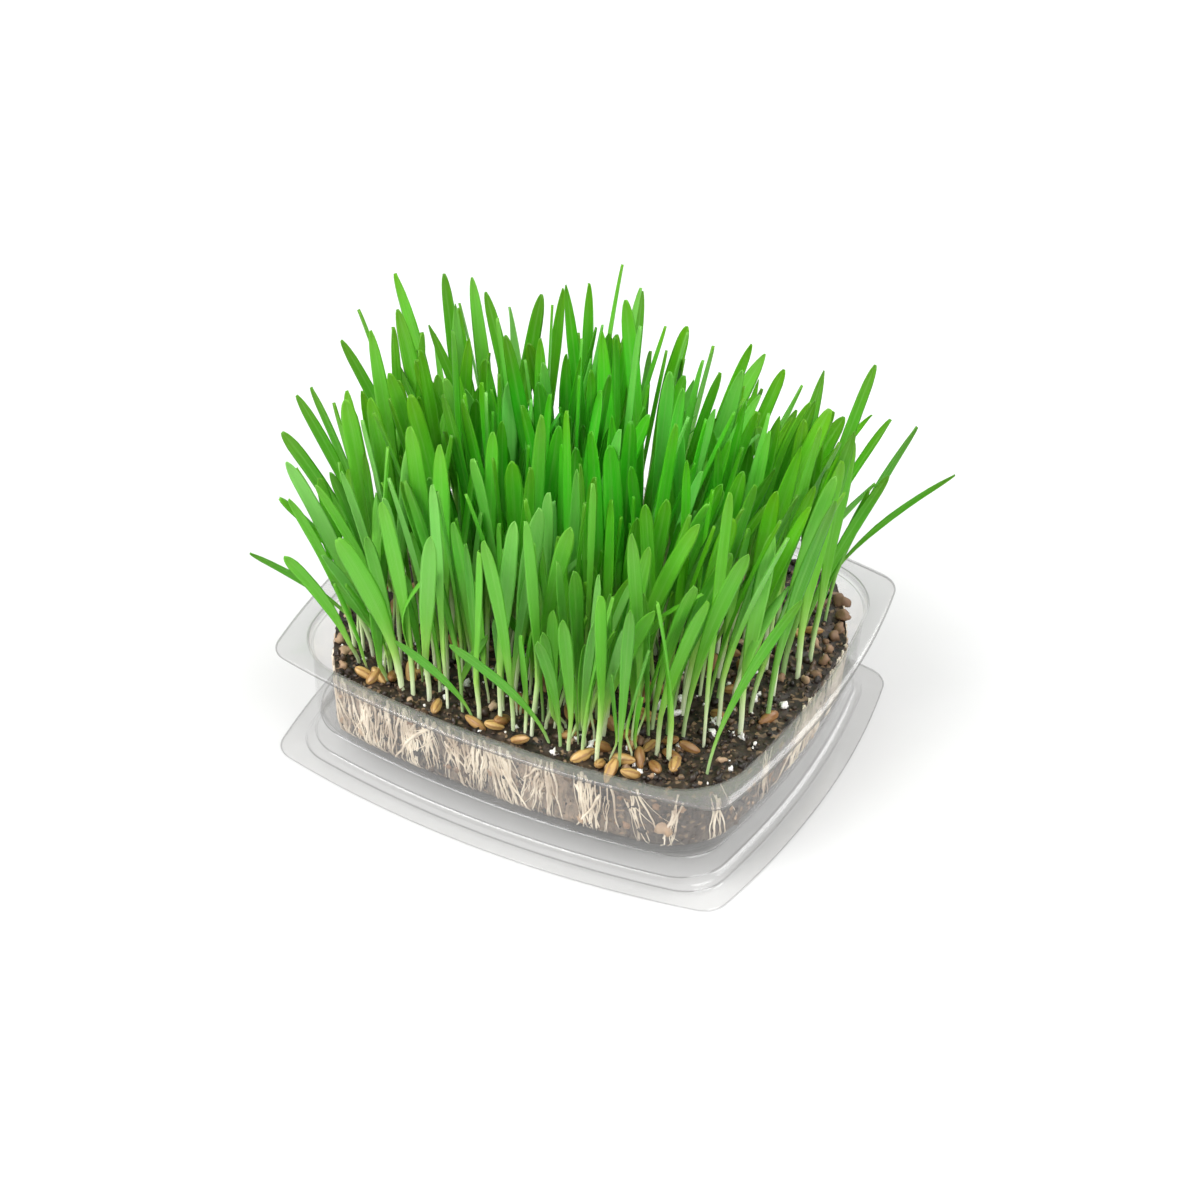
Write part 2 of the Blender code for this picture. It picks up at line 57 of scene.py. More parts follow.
class Tint:
    """A shader socket that works in arithmetic: each operation adds its Math node to the same material."""

    def __init__(self, tree, socket=None):
        self.tree = tree
        self.socket = socket

    def add(self, kind, settings=None, inputs=None, output=0):
        """Adds a node, sets it up, fills or links its sockets, and gives one of its outputs."""
        node = self.tree.nodes.new(kind)
        for name, value in (settings or {}).items():
            setattr(node, name, value)
        for name, value in (inputs or {}).items():
            self.feed(node.inputs[name], value)
        return Tint(self.tree, node.outputs[output])

    def feed(self, socket, value):
        """Links a value to a socket, or sets the socket if the value is a plain one."""
        if isinstance(value, Tint):
            self.tree.links.new(value.socket, socket)
        else:
            socket.default_value = value

    def maths(self, operation, *values, clamp=False):
        settings = {"operation": operation, "use_clamp": clamp}
        return self.add("ShaderNodeMath", settings, dict(enumerate(values)))

    def __add__(self, other):
        return self.maths("ADD", self, other)

    def __sub__(self, other):
        return self.maths("SUBTRACT", self, other)

    def __rsub__(self, other):
        return self.maths("SUBTRACT", other, self)

    def __mul__(self, other):
        return self.maths("MULTIPLY", self, other)

    def between(self, low, high):
        """0 below low, 1 above high, and straight between."""
        return self.maths("DIVIDE", self - low, high - low, clamp=True)

    def mix(self, first, second):
        """The first colour where this is 0 and the second where it is 1."""
        first = first if isinstance(first, Tint) else (*first, 1.0)
        second = second if isinstance(second, Tint) else (*second, 1.0)
        inputs = {0: self, 6: first, 7: second}
        return self.add("ShaderNodeMix", {"data_type": "RGBA"}, inputs, output=2)

    def times(self, share, colour):
        """This colour, multiplied by another as far as a share says."""
        inputs = {0: share, 6: self, 7: (*colour, 1.0)}
        return self.add("ShaderNodeMix", {"data_type": "RGBA", "blend_type": "MULTIPLY"}, inputs, output=2)

    def ramp(self, stops):
        """The colour that a row of stops has at this value."""
        found = self.add("ShaderNodeValToRGB", None, {"Fac": self})
        row = found.socket.node.color_ramp
        while len(row.elements) < len(stops):
            row.elements.new(0.5)
        for stop, (place, colour) in zip(row.elements, stops):
            stop.position = place
            stop.color = (*colour, 1.0)
        return found

    def place(self):
        """Where a point lies, in the object's own coordinates."""
        return self.add("ShaderNodeTexCoord", output=3)

    def part(self, axis):
        """One coordinate of a vector, from 0 for x to 2 for z."""
        return self.add("ShaderNodeSeparateXYZ", None, {"Vector": self}, output=axis)

    def noise(self, scale, detail, roughness=0.5):
        """Cloudy noise at this place."""
        inputs = {"Vector": self, "Scale": scale, "Detail": detail, "Roughness": roughness}
        return self.add("ShaderNodeTexNoise", None, inputs)

    def carried(self, name, output=2):
        """A value, or with output 1 a vector, that the mesh carries at its points."""
        return self.add("ShaderNodeAttribute", {"attribute_name": name}, output=output)

    def emboss(self, shader, strength, distance):
        """Turns this height into relief on a shader."""
        inputs = {"Height": self, "Strength": strength, "Distance": distance}
        self.feed(shader.inputs["Normal"], self.add("ShaderNodeBump", None, inputs))


def new_finish(name):
    """A material, its shader, and the tint that its nodes are added through."""
    material = bpy.data.materials.new(name)
    material.use_nodes = True
    return material, material.node_tree.nodes["Principled BSDF"], Tint(material.node_tree)


def add_layer(material, shader, share, layer):
    """Lets a second shader take over from a material's own as far as a share says."""
    inputs = {0: share, 1: Tint(share.tree, shader.outputs[0]), 2: layer}
    mixed = share.add("ShaderNodeMixShader", None, inputs)
    share.feed(material.node_tree.nodes["Material Output"].inputs["Surface"], mixed)


def in_scene(name, data):
    """A new object in the scene, with the data given."""
    thing = bpy.data.objects.new(name, data)
    bpy.context.scene.collection.objects.link(thing)
    return thing


def face_outward():
    """Turns the faces of the mesh in edit mode outward, and leaves edit mode."""
    bpy.ops.mesh.select_all(action="SELECT")
    bpy.ops.mesh.normals_make_consistent(inside=False)
    bpy.ops.object.mode_set(mode="OBJECT")


def built_piece(name, points, faces, values):
    """A smooth piece from points and faces, which carries the named values at its points."""
    mesh = bpy.data.meshes.new(name)
    mesh.from_pydata([tuple(point) for point in points], [], faces)
    for key, numbers in values.items():
        mesh.attributes.new(key, "FLOAT", "POINT").data.foreach_set("value", numbers)
    mesh.shade_smooth()
    return in_scene(name, mesh)


def finish_piece(piece, material, slot, *nodes):
    """Gives a finished piece its material, its body and the nodes that it stands for. The slot is not used.
    """
    piece.data.materials.clear()
    piece.data.materials.append(material)
    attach(piece, "root")
    if nodes:
        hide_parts(*nodes)


bpy.ops.mesh.primitive_plane_add(size=TABLE_SIZE)
table = bpy.context.object
table.name = "table"
table_white, shader, tint = new_finish("table_white")
shader.inputs["Base Color"].default_value = (0.58, 0.58, 0.58, 1.0)
shader.inputs["Roughness"].default_value = 0.7
table.data.materials.append(table_white)

back = Vector((math.sin(CAMERA_TURN) * math.cos(CAMERA_RISE), 0.0, math.sin(CAMERA_RISE)))
back.y = -math.cos(CAMERA_TURN) * math.cos(CAMERA_RISE)
right = Vector((math.cos(CAMERA_TURN), math.sin(CAMERA_TURN), 0.0))
up = back.cross(right)
rolled_right = right * math.cos(CAMERA_ROLL) + up * math.sin(CAMERA_ROLL)
rolled_up = up * math.cos(CAMERA_ROLL) - right * math.sin(CAMERA_ROLL)
camera_data = bpy.data.cameras.new("camera")
camera_data.lens = CAMERA_LENS
camera_data.sensor_width = 36.0
camera = in_scene("camera", camera_data)
camera.matrix_world = Matrix((rolled_right, rolled_up, back)).transposed().to_4x4()
camera.location = Vector((0, 0, STAND_HEIGHT)) + back * CAMERA_AWAY
camera.location += right * CAMERA_ASIDE[0] + up * CAMERA_ASIDE[1]
bpy.context.scene.camera = camera
bpy.context.scene.view_settings.view_transform = "Standard"

for name, place, size, power in (
    ("key_light", (-0.55, -0.75, 1.05), 1.0, 26.0),
    ("side_light", (1.00, -0.35, 0.75), 0.8, 9.5),
    ("back_light", (0.55, 0.85, 1.00), 0.8, 12.0),
):
    light_data = bpy.data.lights.new(name, "AREA")
    light_data.size = size
    light_data.energy = power
    light = in_scene(name, light_data)
    light.location = place
    light.rotation_euler = (-Vector(place) + Vector((0, 0, 0.05))).to_track_quat("-Z", "Y").to_euler()
world = bpy.data.worlds.new("studio")
world.use_nodes = True
world.node_tree.nodes["Background"].inputs["Color"].default_value = (1.0, 1.0, 1.0, 1.0)
world.node_tree.nodes["Background"].inputs["Strength"].default_value = 0.74
bpy.context.scene.world = world

# The lid is one sheet of clear plastic, drawn over a former with heat and vacuum. It lies dome up on its flat
# flange and is what the tub stands on.
LENGTH = 0.160
WIDTH = 0.1448
SHORT_SIDE_BOW = 0.0067
LONG_SIDE_BOW = 0.0087
SIDE_STEPS = 14
CORNER_STEPS = 12
SHEET = 0.00055
LID_HEIGHT = 0.0107
TUB_WALL_TOP = 0.0348
LID_FORM = (
    (0.0002, 0.0002, 0.0087, 0.0006),
    (0.0005, 0.0005, 0.0084, 0.0010),
    (0.0009, 0.0009, 0.0080, 0.0010),
    (0.0052, 0.0044, 0.0140, 0.0010),
    (0.0056, 0.0048, 0.0146, 0.0010),
    (0.0059, 0.0051, 0.0150, 0.0014),
    (0.0062, 0.0054, 0.0154, 0.0024),
    (0.0066, 0.0058, 0.0158, 0.0034),
    (0.0078, 0.0070, 0.0162, 0.0037),
    (0.0082, 0.0074, 0.0165, 0.0040),
    (0.0085, 0.0077, 0.0166, 0.0050),
    (0.0090, 0.0082, 0.0166, 0.0086),
    (0.0093, 0.0085, 0.0165, 0.0098),
    (0.0098, 0.0090, 0.0162, 0.0104),
    (0.0106, 0.0098, 0.0156, LID_HEIGHT),
    (0.0110, 0.0102, 0.0152, LID_HEIGHT),
)
LID_LINES = (0, 5, 9, 13)


def arc(centre, radius, start, end, steps):
    """Points along an arc, the end left out."""
    turns = [start + (end - start) * step / steps for step in range(steps)]
    return [(centre[0] + radius * math.cos(turn), centre[1] + radius * math.sin(turn)) for turn in turns]


def outline(inset_x, inset_y, corner, side_steps=SIDE_STEPS, corner_steps=CORNER_STEPS):
    """The outline with its sides set in: four bowed sides and four fillets, from the middle of the right."""
    half_x = LENGTH / 2 - SHORT_SIDE_BOW
    half_y = WIDTH / 2 - LONG_SIDE_BOW
    short_radius = (half_y**2 + SHORT_SIDE_BOW**2) / (2 * SHORT_SIDE_BOW)
    long_radius = (half_x**2 + LONG_SIDE_BOW**2) / (2 * LONG_SIDE_BOW)
    short_centre = LENGTH / 2 - short_radius
    long_centre = WIDTH / 2 - long_radius
    short_radius -= inset_x
    long_radius -= inset_y
    from_short = short_radius - corner
    from_long = long_radius - corner
    apart = math.hypot(short_centre, long_centre)
    along = (from_short**2 - from_long**2 + apart**2) / (2 * apart)
    aside = math.sqrt(from_short**2 - along**2)
    unit = (-short_centre / apart, long_centre / apart)
    centre = (short_centre + along * unit[0] - aside * unit[1], along * unit[1] + aside * unit[0])
    turn_short = math.atan2(centre[1], centre[0] - short_centre)
    turn_long = math.atan2(centre[1] - long_centre, centre[0])
    quarter = arc((short_centre, 0), short_radius, 0, turn_short, side_steps)
    quarter += arc(centre, corner, turn_short, turn_long, corner_steps)
    quarter += arc((0, long_centre), long_radius, turn_long, math.pi / 2, side_steps)
    quarter.append((0.0, long_centre + long_radius))
    half = quarter + [(-x, y) for x, y in reversed(quarter[:-1])]
    return half + [(x, -y) for x, y in reversed(half[1:-1])]


def formed_sheet(name, form, lines):
    """A formed sheet: a ring of edges on the former's rim, pulled out step by step and closed by a panel.

    The rings numbered in lines are creases, along which the material paints a darker line: painted shade for
    the light that a crease bends away.
    """
    rings = [[Vector((x, y, ring[3])) for x, y in outline(*ring[:3])] for ring in form]
    bpy.ops.mesh.primitive_circle_add(vertices=len(rings[0]), radius=LENGTH / 2)
    piece = bpy.context.object
    piece.name = name
    piece.data.name = name
    piece.data.attributes.new("place", "INT", "POINT").data.foreach_set("value", range(len(rings[0])))
    piece.data.attributes.new("crease", "FLOAT", "POINT")
    bpy.ops.object.mode_set(mode="EDIT")
    bpy.ops.mesh.select_all(action="SELECT")
    for number, ring in enumerate(rings):
        if number:
            bpy.ops.mesh.extrude_region_move()
        cage = bmesh.from_edit_mesh(piece.data)
        place = cage.verts.layers.int["place"]
        crease = cage.verts.layers.float["crease"]
        for corner in cage.verts:
            if corner.select:
                corner.co = ring[corner[place]]
                corner[crease] = float(number in lines)
        bmesh.update_edit_mesh(piece.data)
    bpy.ops.mesh.edge_face_add()
    face_outward()
    return piece


def thicken(piece):
    """Gives a formed sheet its thickness, below the face that was formed."""
    panel = max(piece.data.polygons, key=lambda face: len(face.vertices))
    if panel.normal.z <= 0:
        piece.data.flip_normals()
    wall = piece.modifiers.new("sheet", "SOLIDIFY")
    wall.thickness = SHEET
    wall.offset = -1.0
    wall.use_even_offset = True
    bpy.ops.object.modifier_apply(modifier=wall.name)
    bpy.ops.object.shade_smooth_by_angle(angle=math.radians(50))


lid = formed_sheet("clear_lid", LID_FORM, LID_LINES)
thicken(lid)

# The sheet is clear but a little milky, more so where it is seen at a slant, on the tub's flange and on the
# lid below the tub.
# Along its creases it is painted darker and denser, a painted shade for the light that a crease bends away.
clear_sheet, shader, tint = new_finish("clear_sheet")
place = tint.place()
haze = place.noise(45.0, 3.0)
slant = tint.add("ShaderNodeLayerWeight", None, {"Blend": 0.3}, output=1)
height = place.part(2)
flange = height.between(TUB_WALL_TOP, TUB_WALL_TOP + 0.0012)
foot = 1.0 - height.between(0.0102, 0.0118)
crease = tint.carried("crease")
# line marks the creases, where a dark, denser line is painted: painted shade, not a colour of the plastic.
line = crease.between(0.55, 1.0)
veil = slant * slant * 0.12 + haze * 0.06 + flange * 0.14 + foot * 0.09 + line * 0.32 + 0.03
scuff = place.noise(160.0, 4.0)
ripple = place.noise(55.0, 1.0)
milky = haze.mix((0.46, 0.455, 0.44), (0.56, 0.555, 0.54))
grey = flange.mix(milky, (0.23, 0.226, 0.215))
# Along the creases the base colour goes near black: painted shade.
tint.feed(shader.inputs["Base Color"], line.mix(grey, (0.10, 0.10, 0.095)))
tint.feed(shader.inputs["Alpha"], veil)
tint.feed(shader.inputs["Roughness"], scuff * 0.10 + 0.05)
ripple.emboss(shader, 0.12, 0.002)
gloss = tint.add("ShaderNodeBsdfGlossy", None, {"Color": (1.0, 1.0, 1.0, 1.0), "Roughness": 0.16})
mirrored = slant * slant * slant * 0.22 + 0.022
add_layer(clear_sheet, shader, mirrored, gloss)
finish_piece(lid, clear_sheet, "clear_plastic", "lid")

# The tub is the same kind of sheet: a flat flange with a rolled edge and eared corners, a small shoulder that
# the lid snaps over, and a wall that narrows a little towards its floor.
TUB_TOP = 0.0378
TUB_FLOOR = 0.0117
TUB_FORM = (
    (0.0002, 0.0002, 0.0087, TUB_TOP - 0.0009),
    (0.0004, 0.0004, 0.0085, TUB_TOP - 0.0003),
    (0.0007, 0.0007, 0.0082, TUB_TOP),
    (0.0054, 0.0046, 0.0215, TUB_TOP),
    (0.0059, 0.0051, 0.0223, TUB_TOP - 0.0001),
    (0.0063, 0.0055, 0.0230, TUB_TOP - 0.0005),
    (0.0065, 0.0057, 0.0236, TUB_TOP - 0.0012),
    (0.0067, 0.0059, 0.0240, TUB_TOP - 0.0022),
    (0.0068, 0.0060, 0.0243, TUB_TOP - 0.0027),
    (0.0071, 0.0062, 0.0244, TUB_TOP - 0.0030),
    (0.0073, 0.0064, 0.0245, TUB_TOP - 0.0035),
    (0.0078, 0.0065, 0.0245, TUB_FLOOR + 0.0070),
    (0.0080, 0.0066, 0.0245, TUB_FLOOR + 0.0038),
    (0.0083, 0.0069, 0.0241, TUB_FLOOR + 0.0020),
    (0.0088, 0.0074, 0.0236, TUB_FLOOR + 0.0012),
    (0.0092, 0.0078, 0.0232, TUB_FLOOR + 0.0007),
    (0.0101, 0.0087, 0.0223, TUB_FLOOR + 0.0002),
    (0.0112, 0.0098, 0.0212, TUB_FLOOR),
)
TUB_LINES = (0, 5, 9, 15)
tub = formed_sheet("clear_tub", TUB_FORM, TUB_LINES)
thicken(tub)
finish_piece(tub, clear_sheet, "clear_plastic", "tub")

# The soil is one moist block of dark potting mix, knitted together by roots and pressed against the tub. Its
# top is loose and crumbly.
SOIL_TOP = 0.0345
SOIL_COLUMNS = (150, 136)
SOIL_SIDE_STEPS = 22
SOIL_RIM = (0.0083, 0.0074, 0.0231)
SOIL_FOOT = (0.0120, 0.0106, 0.0203)
SHRUNK_WAY = (0.860, 0.510)
SHRUNK_REACH = 0.0758
SHRINKAGE = 0.8
SOIL_BASE = 0.0121
SIDE_TAPER = 0.0010
TUCK_START = 0.86
TUCK_LENGTH = 0.14
RIM_DROP = 0.0006
SIDE_RELIEF = 0.00035
CRUMB_SIZE = 0.0021


def shrunk(x, y):
    """A point of the soil's outline, drawn back if it lies in the front left or the back right corner."""
    reach = x * SHRUNK_WAY[0] + y * SHRUNK_WAY[1]
    over = math.copysign(max(0.0, abs(reach) - SHRUNK_REACH), reach) * SHRINKAGE
    return x - over * SHRUNK_WAY[0], y - over * SHRUNK_WAY[1]


def reach_table(inset):
    """How far the soil reaches in each direction, as angles and radii to read between."""
    points = np.array([shrunk(x, y) for x, y in outline(*inset)])
    angles = np.arctan2(points[:, 1], points[:, 0])
    order = np.argsort(angles)
    radii = np.hypot(points[:, 0], points[:, 1])[order]
    angles = angles[order]
    return np.concatenate([angles - 2 * math.pi, angles, angles + 2 * math.pi]), np.tile(radii, 3)


soil_reach = reach_table(SOIL_RIM)
soil_foot_reach = reach_table(SOIL_FOOT)


def soil_height(x, y):
    """Height of the soil's surface: mounds, with crumbs of two sizes pressed together."""
    mounds = noise.fractal(Vector((x, y, 0.0)) / 0.012, 1.0, 2.0, 3)
    far = noise.voronoi(Vector((x, y, 0.0)) / CRUMB_SIZE)[0][0]
    near = noise.voronoi(Vector((x, y, 0.01)) / (0.55 * CRUMB_SIZE))[0][0]
    return SOIL_TOP + 0.0008 * mounds - 0.0011 * far + 0.0005 - 0.0005 * near


def foot_tuck(down):
    """How far the soil's side is tucked under, from 0 above its foot to 1 at its bottom."""
    return max(0.0, (down - TUCK_START) / TUCK_LENGTH) ** 2


def side_reach(angle, down):
    """How far out the soil's side stands, at a share of the way down it."""
    rim = float(np.interp(angle, *soil_reach)) - SIDE_TAPER * down
    return rim + (float(np.interp(angle, *soil_foot_reach)) - rim) * foot_tuck(down)


def wall_point(angle, height, proud):
    """A point on the soil's side, or as far outside it as proud says."""
    down = (SOIL_TOP - height) / (SOIL_TOP - SOIL_BASE)
    radius = side_reach(math.remainder(angle, 2 * math.pi), down) + proud
    return Vector((radius * math.cos(angle), radius * math.sin(angle), height))


bpy.ops.mesh.primitive_grid_add(x_subdivisions=SOIL_COLUMNS[0], y_subdivisions=SOIL_COLUMNS[1], size=2.0)
soil = bpy.context.object
soil.name = "soil_block"
soil.data.name = "soil_block"
for corner in soil.data.vertices:
    u, v = corner.co.x, corner.co.y
    share = max(abs(u), abs(v))
    angle = math.atan2(v * WIDTH, u * LENGTH)
    radius = share * float(np.interp(angle, *soil_reach))
    x, y = radius * math.cos(angle), radius * math.sin(angle)
    corner.co = (x, y, soil_height(x, y))
bpy.ops.object.mode_set(mode="EDIT")
bpy.ops.mesh.select_all(action="DESELECT")
cage = bmesh.from_edit_mesh(soil.data)
for edge in cage.edges:
    edge.select = edge.is_boundary
bmesh.update_edit_mesh(soil.data)
for step in range(1, SOIL_SIDE_STEPS + 1):
    bpy.ops.mesh.extrude_region_move()
    cage = bmesh.from_edit_mesh(soil.data)
    down = step / SOIL_SIDE_STEPS
    for corner in cage.verts:
        if not corner.select:
            continue
        angle = math.atan2(corner.co.y, corner.co.x)
        radius = side_reach(angle, down)
        x, y = radius * math.cos(angle), radius * math.sin(angle)
        height = SOIL_TOP - RIM_DROP + (SOIL_BASE - SOIL_TOP + RIM_DROP) * down
        rough = noise.fractal(Vector((x, y, height)) / 0.0035, 1.0, 2.0, 3) * SIDE_RELIEF
        rough *= 1 - foot_tuck(down)
        corner.co = (x * (1 + rough / radius), y * (1 + rough / radius), height)
    bmesh.update_edit_mesh(soil.data)
bpy.ops.mesh.edge_face_add()
face_outward()
bpy.ops.object.shade_smooth_by_angle(angle=math.radians(60))

earth, shader, tint = new_finish("earth")
place = tint.place()
clods = place.noise(420.0, 6.0, 0.65)
flecks = tint.add("ShaderNodeTexVoronoi", None, {"Vector": place, "Scale": 900.0}, output=1)
fleck = tint.add("ShaderNodeSeparateColor", None, {"Color": flecks})
# The soil's own dark brown, going near black where the clods' bump is lowest: painted shade in the hollows
# between clods.
earth_with_hollow_shade = clods.between(0.40, 0.72).mix((0.005, 0.003, 0.002), (0.060, 0.036, 0.021))
specked = fleck.between(0.86, 0.97).mix(earth_with_hollow_shade, (0.20, 0.13, 0.075))
drawn_down = tint.add("ShaderNodeMapping", None, {"Vector": place, "Scale": (1.0, 1.0, 0.30)})
root_mat = drawn_down.noise(620.0, 5.0, 0.7)
region = place.noise(34.0, 1.0)
upright = tint.add("ShaderNodeNewGeometry", output=1).part(2)
side = 1.0 - upright.between(0.35, 0.75)
bare = place.part(0).between(0.010, 0.050) * 0.6
matted = (root_mat + region * 0.9).between(0.86, 1.12) * side * (0.80 - bare)
tint.feed(shader.inputs["Base Color"], matted.mix(specked, (0.42, 0.315, 0.225)))
tint.feed(shader.inputs["Roughness"], clods * 0.6 + 0.22)
clods.emboss(shader, 0.7, 0.0006)
finish_piece(soil, earth, "soil", "soil")

# Crumbs of the same potting mix stand out of the soil's top and sides. Each is a rough lump that lies where
# it fell, most of them smaller than a millimetre.
LOOSE_SEED = 23
CRUMBS_ON_TOP = 5000
CRUMBS_ON_SIDES = 1400


def spots_on_soil(draw, count, margin):
    """Random spots all over the soil, at least a margin from its rim."""
    found = []
    while len(found) < count:
        x, y = draw.uniform(-LENGTH, LENGTH) / 2, draw.uniform(-WIDTH, WIDTH) / 2
        if math.hypot(x, y) < float(np.interp(math.atan2(y, x), *soil_reach)) - margin:
            found.append((x, y))
    return found


def lying_ball(segments, rings):
    """The mesh of a ball, a unit across, with its poles along x."""
    bpy.ops.mesh.primitive_uv_sphere_add(segments=segments, ring_count=rings, radius=0.5)
    ball = bpy.context.object
    bpy.ops.object.mode_set(mode="EDIT")
    bpy.ops.mesh.select_all(action="SELECT")
    bpy.ops.transform.rotate(value=math.pi / 2, orient_axis="Y", center_override=(0, 0, 0))
    bpy.ops.object.mode_set(mode="OBJECT")
    mesh = ball.data
    bpy.data.objects.remove(ball)
    return mesh


def rounded_lump(segments, rings, roughness, seed):
    """One lump, a unit across, which is modelled once and then copied."""
    mesh = lying_ball(segments, rings)
    for corner in mesh.vertices:
        corner.co *= 1 + roughness * noise.noise(corner.co * 2.6 + Vector((seed, 0, 0)))
    return mesh


def copies(name, patterns, placed):
    """One piece made of copies of a few patterns, each with its own place, size, turn and tone."""
    points, faces, tones, own = [], [], [], []
    for number, (centre, sizes, turns, tone) in enumerate(placed):
        pattern = patterns[number % len(patterns)]
        local = np.array([corner.co for corner in pattern.vertices])
        turn = Matrix.Rotation(turns[2], 3, "Z") @ Matrix.Rotation(turns[1], 3, "Y")
        turn = np.array(turn @ Matrix.Rotation(turns[0], 3, "X"))
        first = len(points)
        points.extend((local * sizes) @ turn.T + np.array(centre))
        faces.extend([first + index for index in face.vertices] for face in pattern.polygons)
        tones.extend([tone] * len(local))
        own.extend(local)
    piece = built_piece(name, points, faces, {"tone": tones})
    piece.data.attributes.new("own", "FLOAT_VECTOR", "POINT").data.foreach_set("vector", np.ravel(own))
    return piece


def any_turn(draw):
    """A random turn about each axis."""
    return [draw.uniform(0, 2 * math.pi) for _ in range(3)]


draw = random.Random(LOOSE_SEED)
crumb_lumps = [rounded_lump(5, 4, 1.3, seed) for seed in range(5)]
placed = []
for x, y in spots_on_soil(draw, CRUMBS_ON_TOP, 0.0008):
    size = 0.0006 + 0.0024 * draw.random() ** 4
    sizes = [size * draw.uniform(0.7, 1.2) for _ in range(3)]
    placed.append(((x, y, soil_height(x, y) + size * 0.15), sizes, any_turn(draw), draw.random()))
for _ in range(CRUMBS_ON_SIDES):
    angle = draw.uniform(0, 2 * math.pi)
    size = 0.0006 + 0.0024 * draw.random() ** 4
    centre = wall_point(angle, draw.uniform(SOIL_BASE + 0.002, SOIL_TOP - 0.001), -size * 0.25)
    placed.append((tuple(centre), [size] * 3, any_turn(draw), draw.random()))
crumbs = copies("soil_crumbs", crumb_lumps, placed)

crumb_earth, shader, tint = new_finish("crumb_earth")
place = tint.place()
tone = tint.carried("tone")
grain = place.noise(900.0, 4.0)
shades = [
    (0.0, (0.006, 0.004, 0.003)),
    (0.5, (0.028, 0.016, 0.009)),
    (0.8, (0.090, 0.054, 0.030)),
    (1.0, (0.27, 0.18, 0.105)),
]
tint.feed(shader.inputs["Base Color"], (tone * 0.8 + grain * 0.3 - 0.05).ramp(shades))
tint.feed(shader.inputs["Roughness"], grain * 0.5 + 0.22)
grain.emboss(shader, 0.6, 0.0004)
finish_piece(crumbs, crumb_earth, "soil")

# Perlite is a white foamed mineral that keeps the mix airy. Its grains lie loose all over the soil's top, a
# few of them large.
PERLITE_SPOTS = (
    (0.0582, -0.0097), (0.0532, -0.0255), (0.0545, -0.0301), (0.0594, -0.0278), (0.0490, -0.0401),
    (0.0224, -0.0519), (0.0280, -0.0528), (0.0367, -0.0282), (0.0668, -0.0090), (-0.0434, -0.0488),
    (-0.0072, -0.0265), (0.0198, -0.0607),
)
PERLITE_ELSEWHERE = 240
LARGE_GRAINS = 36
foam_lumps = [rounded_lump(8, 6, 1.2, seed) for seed in range(4)]
placed = []
for x, y in list(PERLITE_SPOTS) + spots_on_soil(draw, PERLITE_ELSEWHERE, 0.002):
    large = len(placed) < LARGE_GRAINS
    size = draw.uniform(0.0018, 0.0032) if large else 0.0006 + 0.0012 * draw.random() ** 2
    sizes = [size * draw.uniform(0.75, 1.15) for _ in range(3)]
    placed.append(((x, y, soil_height(x, y) + size * 0.22), sizes, any_turn(draw), draw.random()))
perlite = copies("perlite_grains", foam_lumps, placed)
white_foam, shader, tint = new_finish("white_foam")
place = tint.place()
pores = place.noise(1500.0, 3.0)
tint.feed(shader.inputs["Base Color"], pores.between(0.3, 0.6).mix((0.62, 0.57, 0.50), (0.93, 0.92, 0.90)))
shader.inputs["Roughness"].default_value = 0.85
pores.emboss(shader, 0.6, 0.0004)
finish_piece(perlite, white_foam, "perlite")

# Grit is mixed into the soil: rounded tan and brown stones that lie on its top and show in its sides. The
# largest lies against the wall near the front right corner.
PEBBLE_SPOTS = (
    (0.0660, 0.0308), (0.0673, 0.0233), (0.0684, 0.0176), (0.0691, 0.0095), (0.0676, 0.0050),
    (0.0607, 0.0480), (0.0403, -0.0560), (0.0364, -0.0592), (0.0617, -0.0400), (-0.0603, -0.0455),
    (-0.0526, -0.0561), (-0.0560, -0.0505), (0.0644, 0.0410), (0.0655, 0.0360), (0.0620, 0.0250),
)
PEBBLES_ON_TOP = 90
PEBBLES_ON_SIDES = 170
STONE_SIZE = 0.0052
STONE_HEIGHT = 0.0205
STONE_SPOT = (0.0500, -0.0540)
smooth_lumps = [rounded_lump(10, 7, 0.75, seed) for seed in range(4)]
placed = []
for x, y in list(PEBBLE_SPOTS) + spots_on_soil(draw, PEBBLES_ON_TOP, 0.002):
    size = draw.uniform(0.0026, 0.0046) if len(placed) < len(PEBBLE_SPOTS) else draw.uniform(0.0012, 0.0032)
    sizes = [size * draw.uniform(0.7, 1.15) for _ in range(3)]
    placed.append(((x, y, soil_height(x, y) + size * 0.16), sizes, any_turn(draw), draw.random()))
for _ in range(PEBBLES_ON_SIDES):
    size = draw.uniform(0.0012, 0.0034)
    angle = draw.uniform(0, 2 * math.pi)
    centre = wall_point(angle, draw.uniform(SOIL_BASE + 0.003, SOIL_TOP - 0.002), -size * 0.32)
    placed.append((tuple(centre), [size] * 3, any_turn(draw), draw.random()))
stone = wall_point(math.atan2(STONE_SPOT[1], STONE_SPOT[0]), STONE_HEIGHT, -0.0012)
placed.append((tuple(stone), [STONE_SIZE] * 3, (0, 0, 0), 0.8))
pebbles = copies("grit_pebbles", smooth_lumps, placed)
grit, shader, tint = new_finish("grit")
place = tint.place()
tone = tint.carried("tone")
grain = place.noise(700.0, 5.0)
shades = [
    (0.0, (0.10, 0.052, 0.028)),
    (0.4, (0.23, 0.135, 0.075)),
    (0.75, (0.40, 0.27, 0.165)),
    (1.0, (0.55, 0.42, 0.29)),
]
tint.feed(shader.inputs["Base Color"], (tone * 0.75 + grain * 0.4 - 0.08).ramp(shades))
tint.feed(shader.inputs["Roughness"], grain * 0.3 + 0.5)
grain.emboss(shader, 0.4, 0.0003)
finish_piece(pebbles, grit, "pebbles")

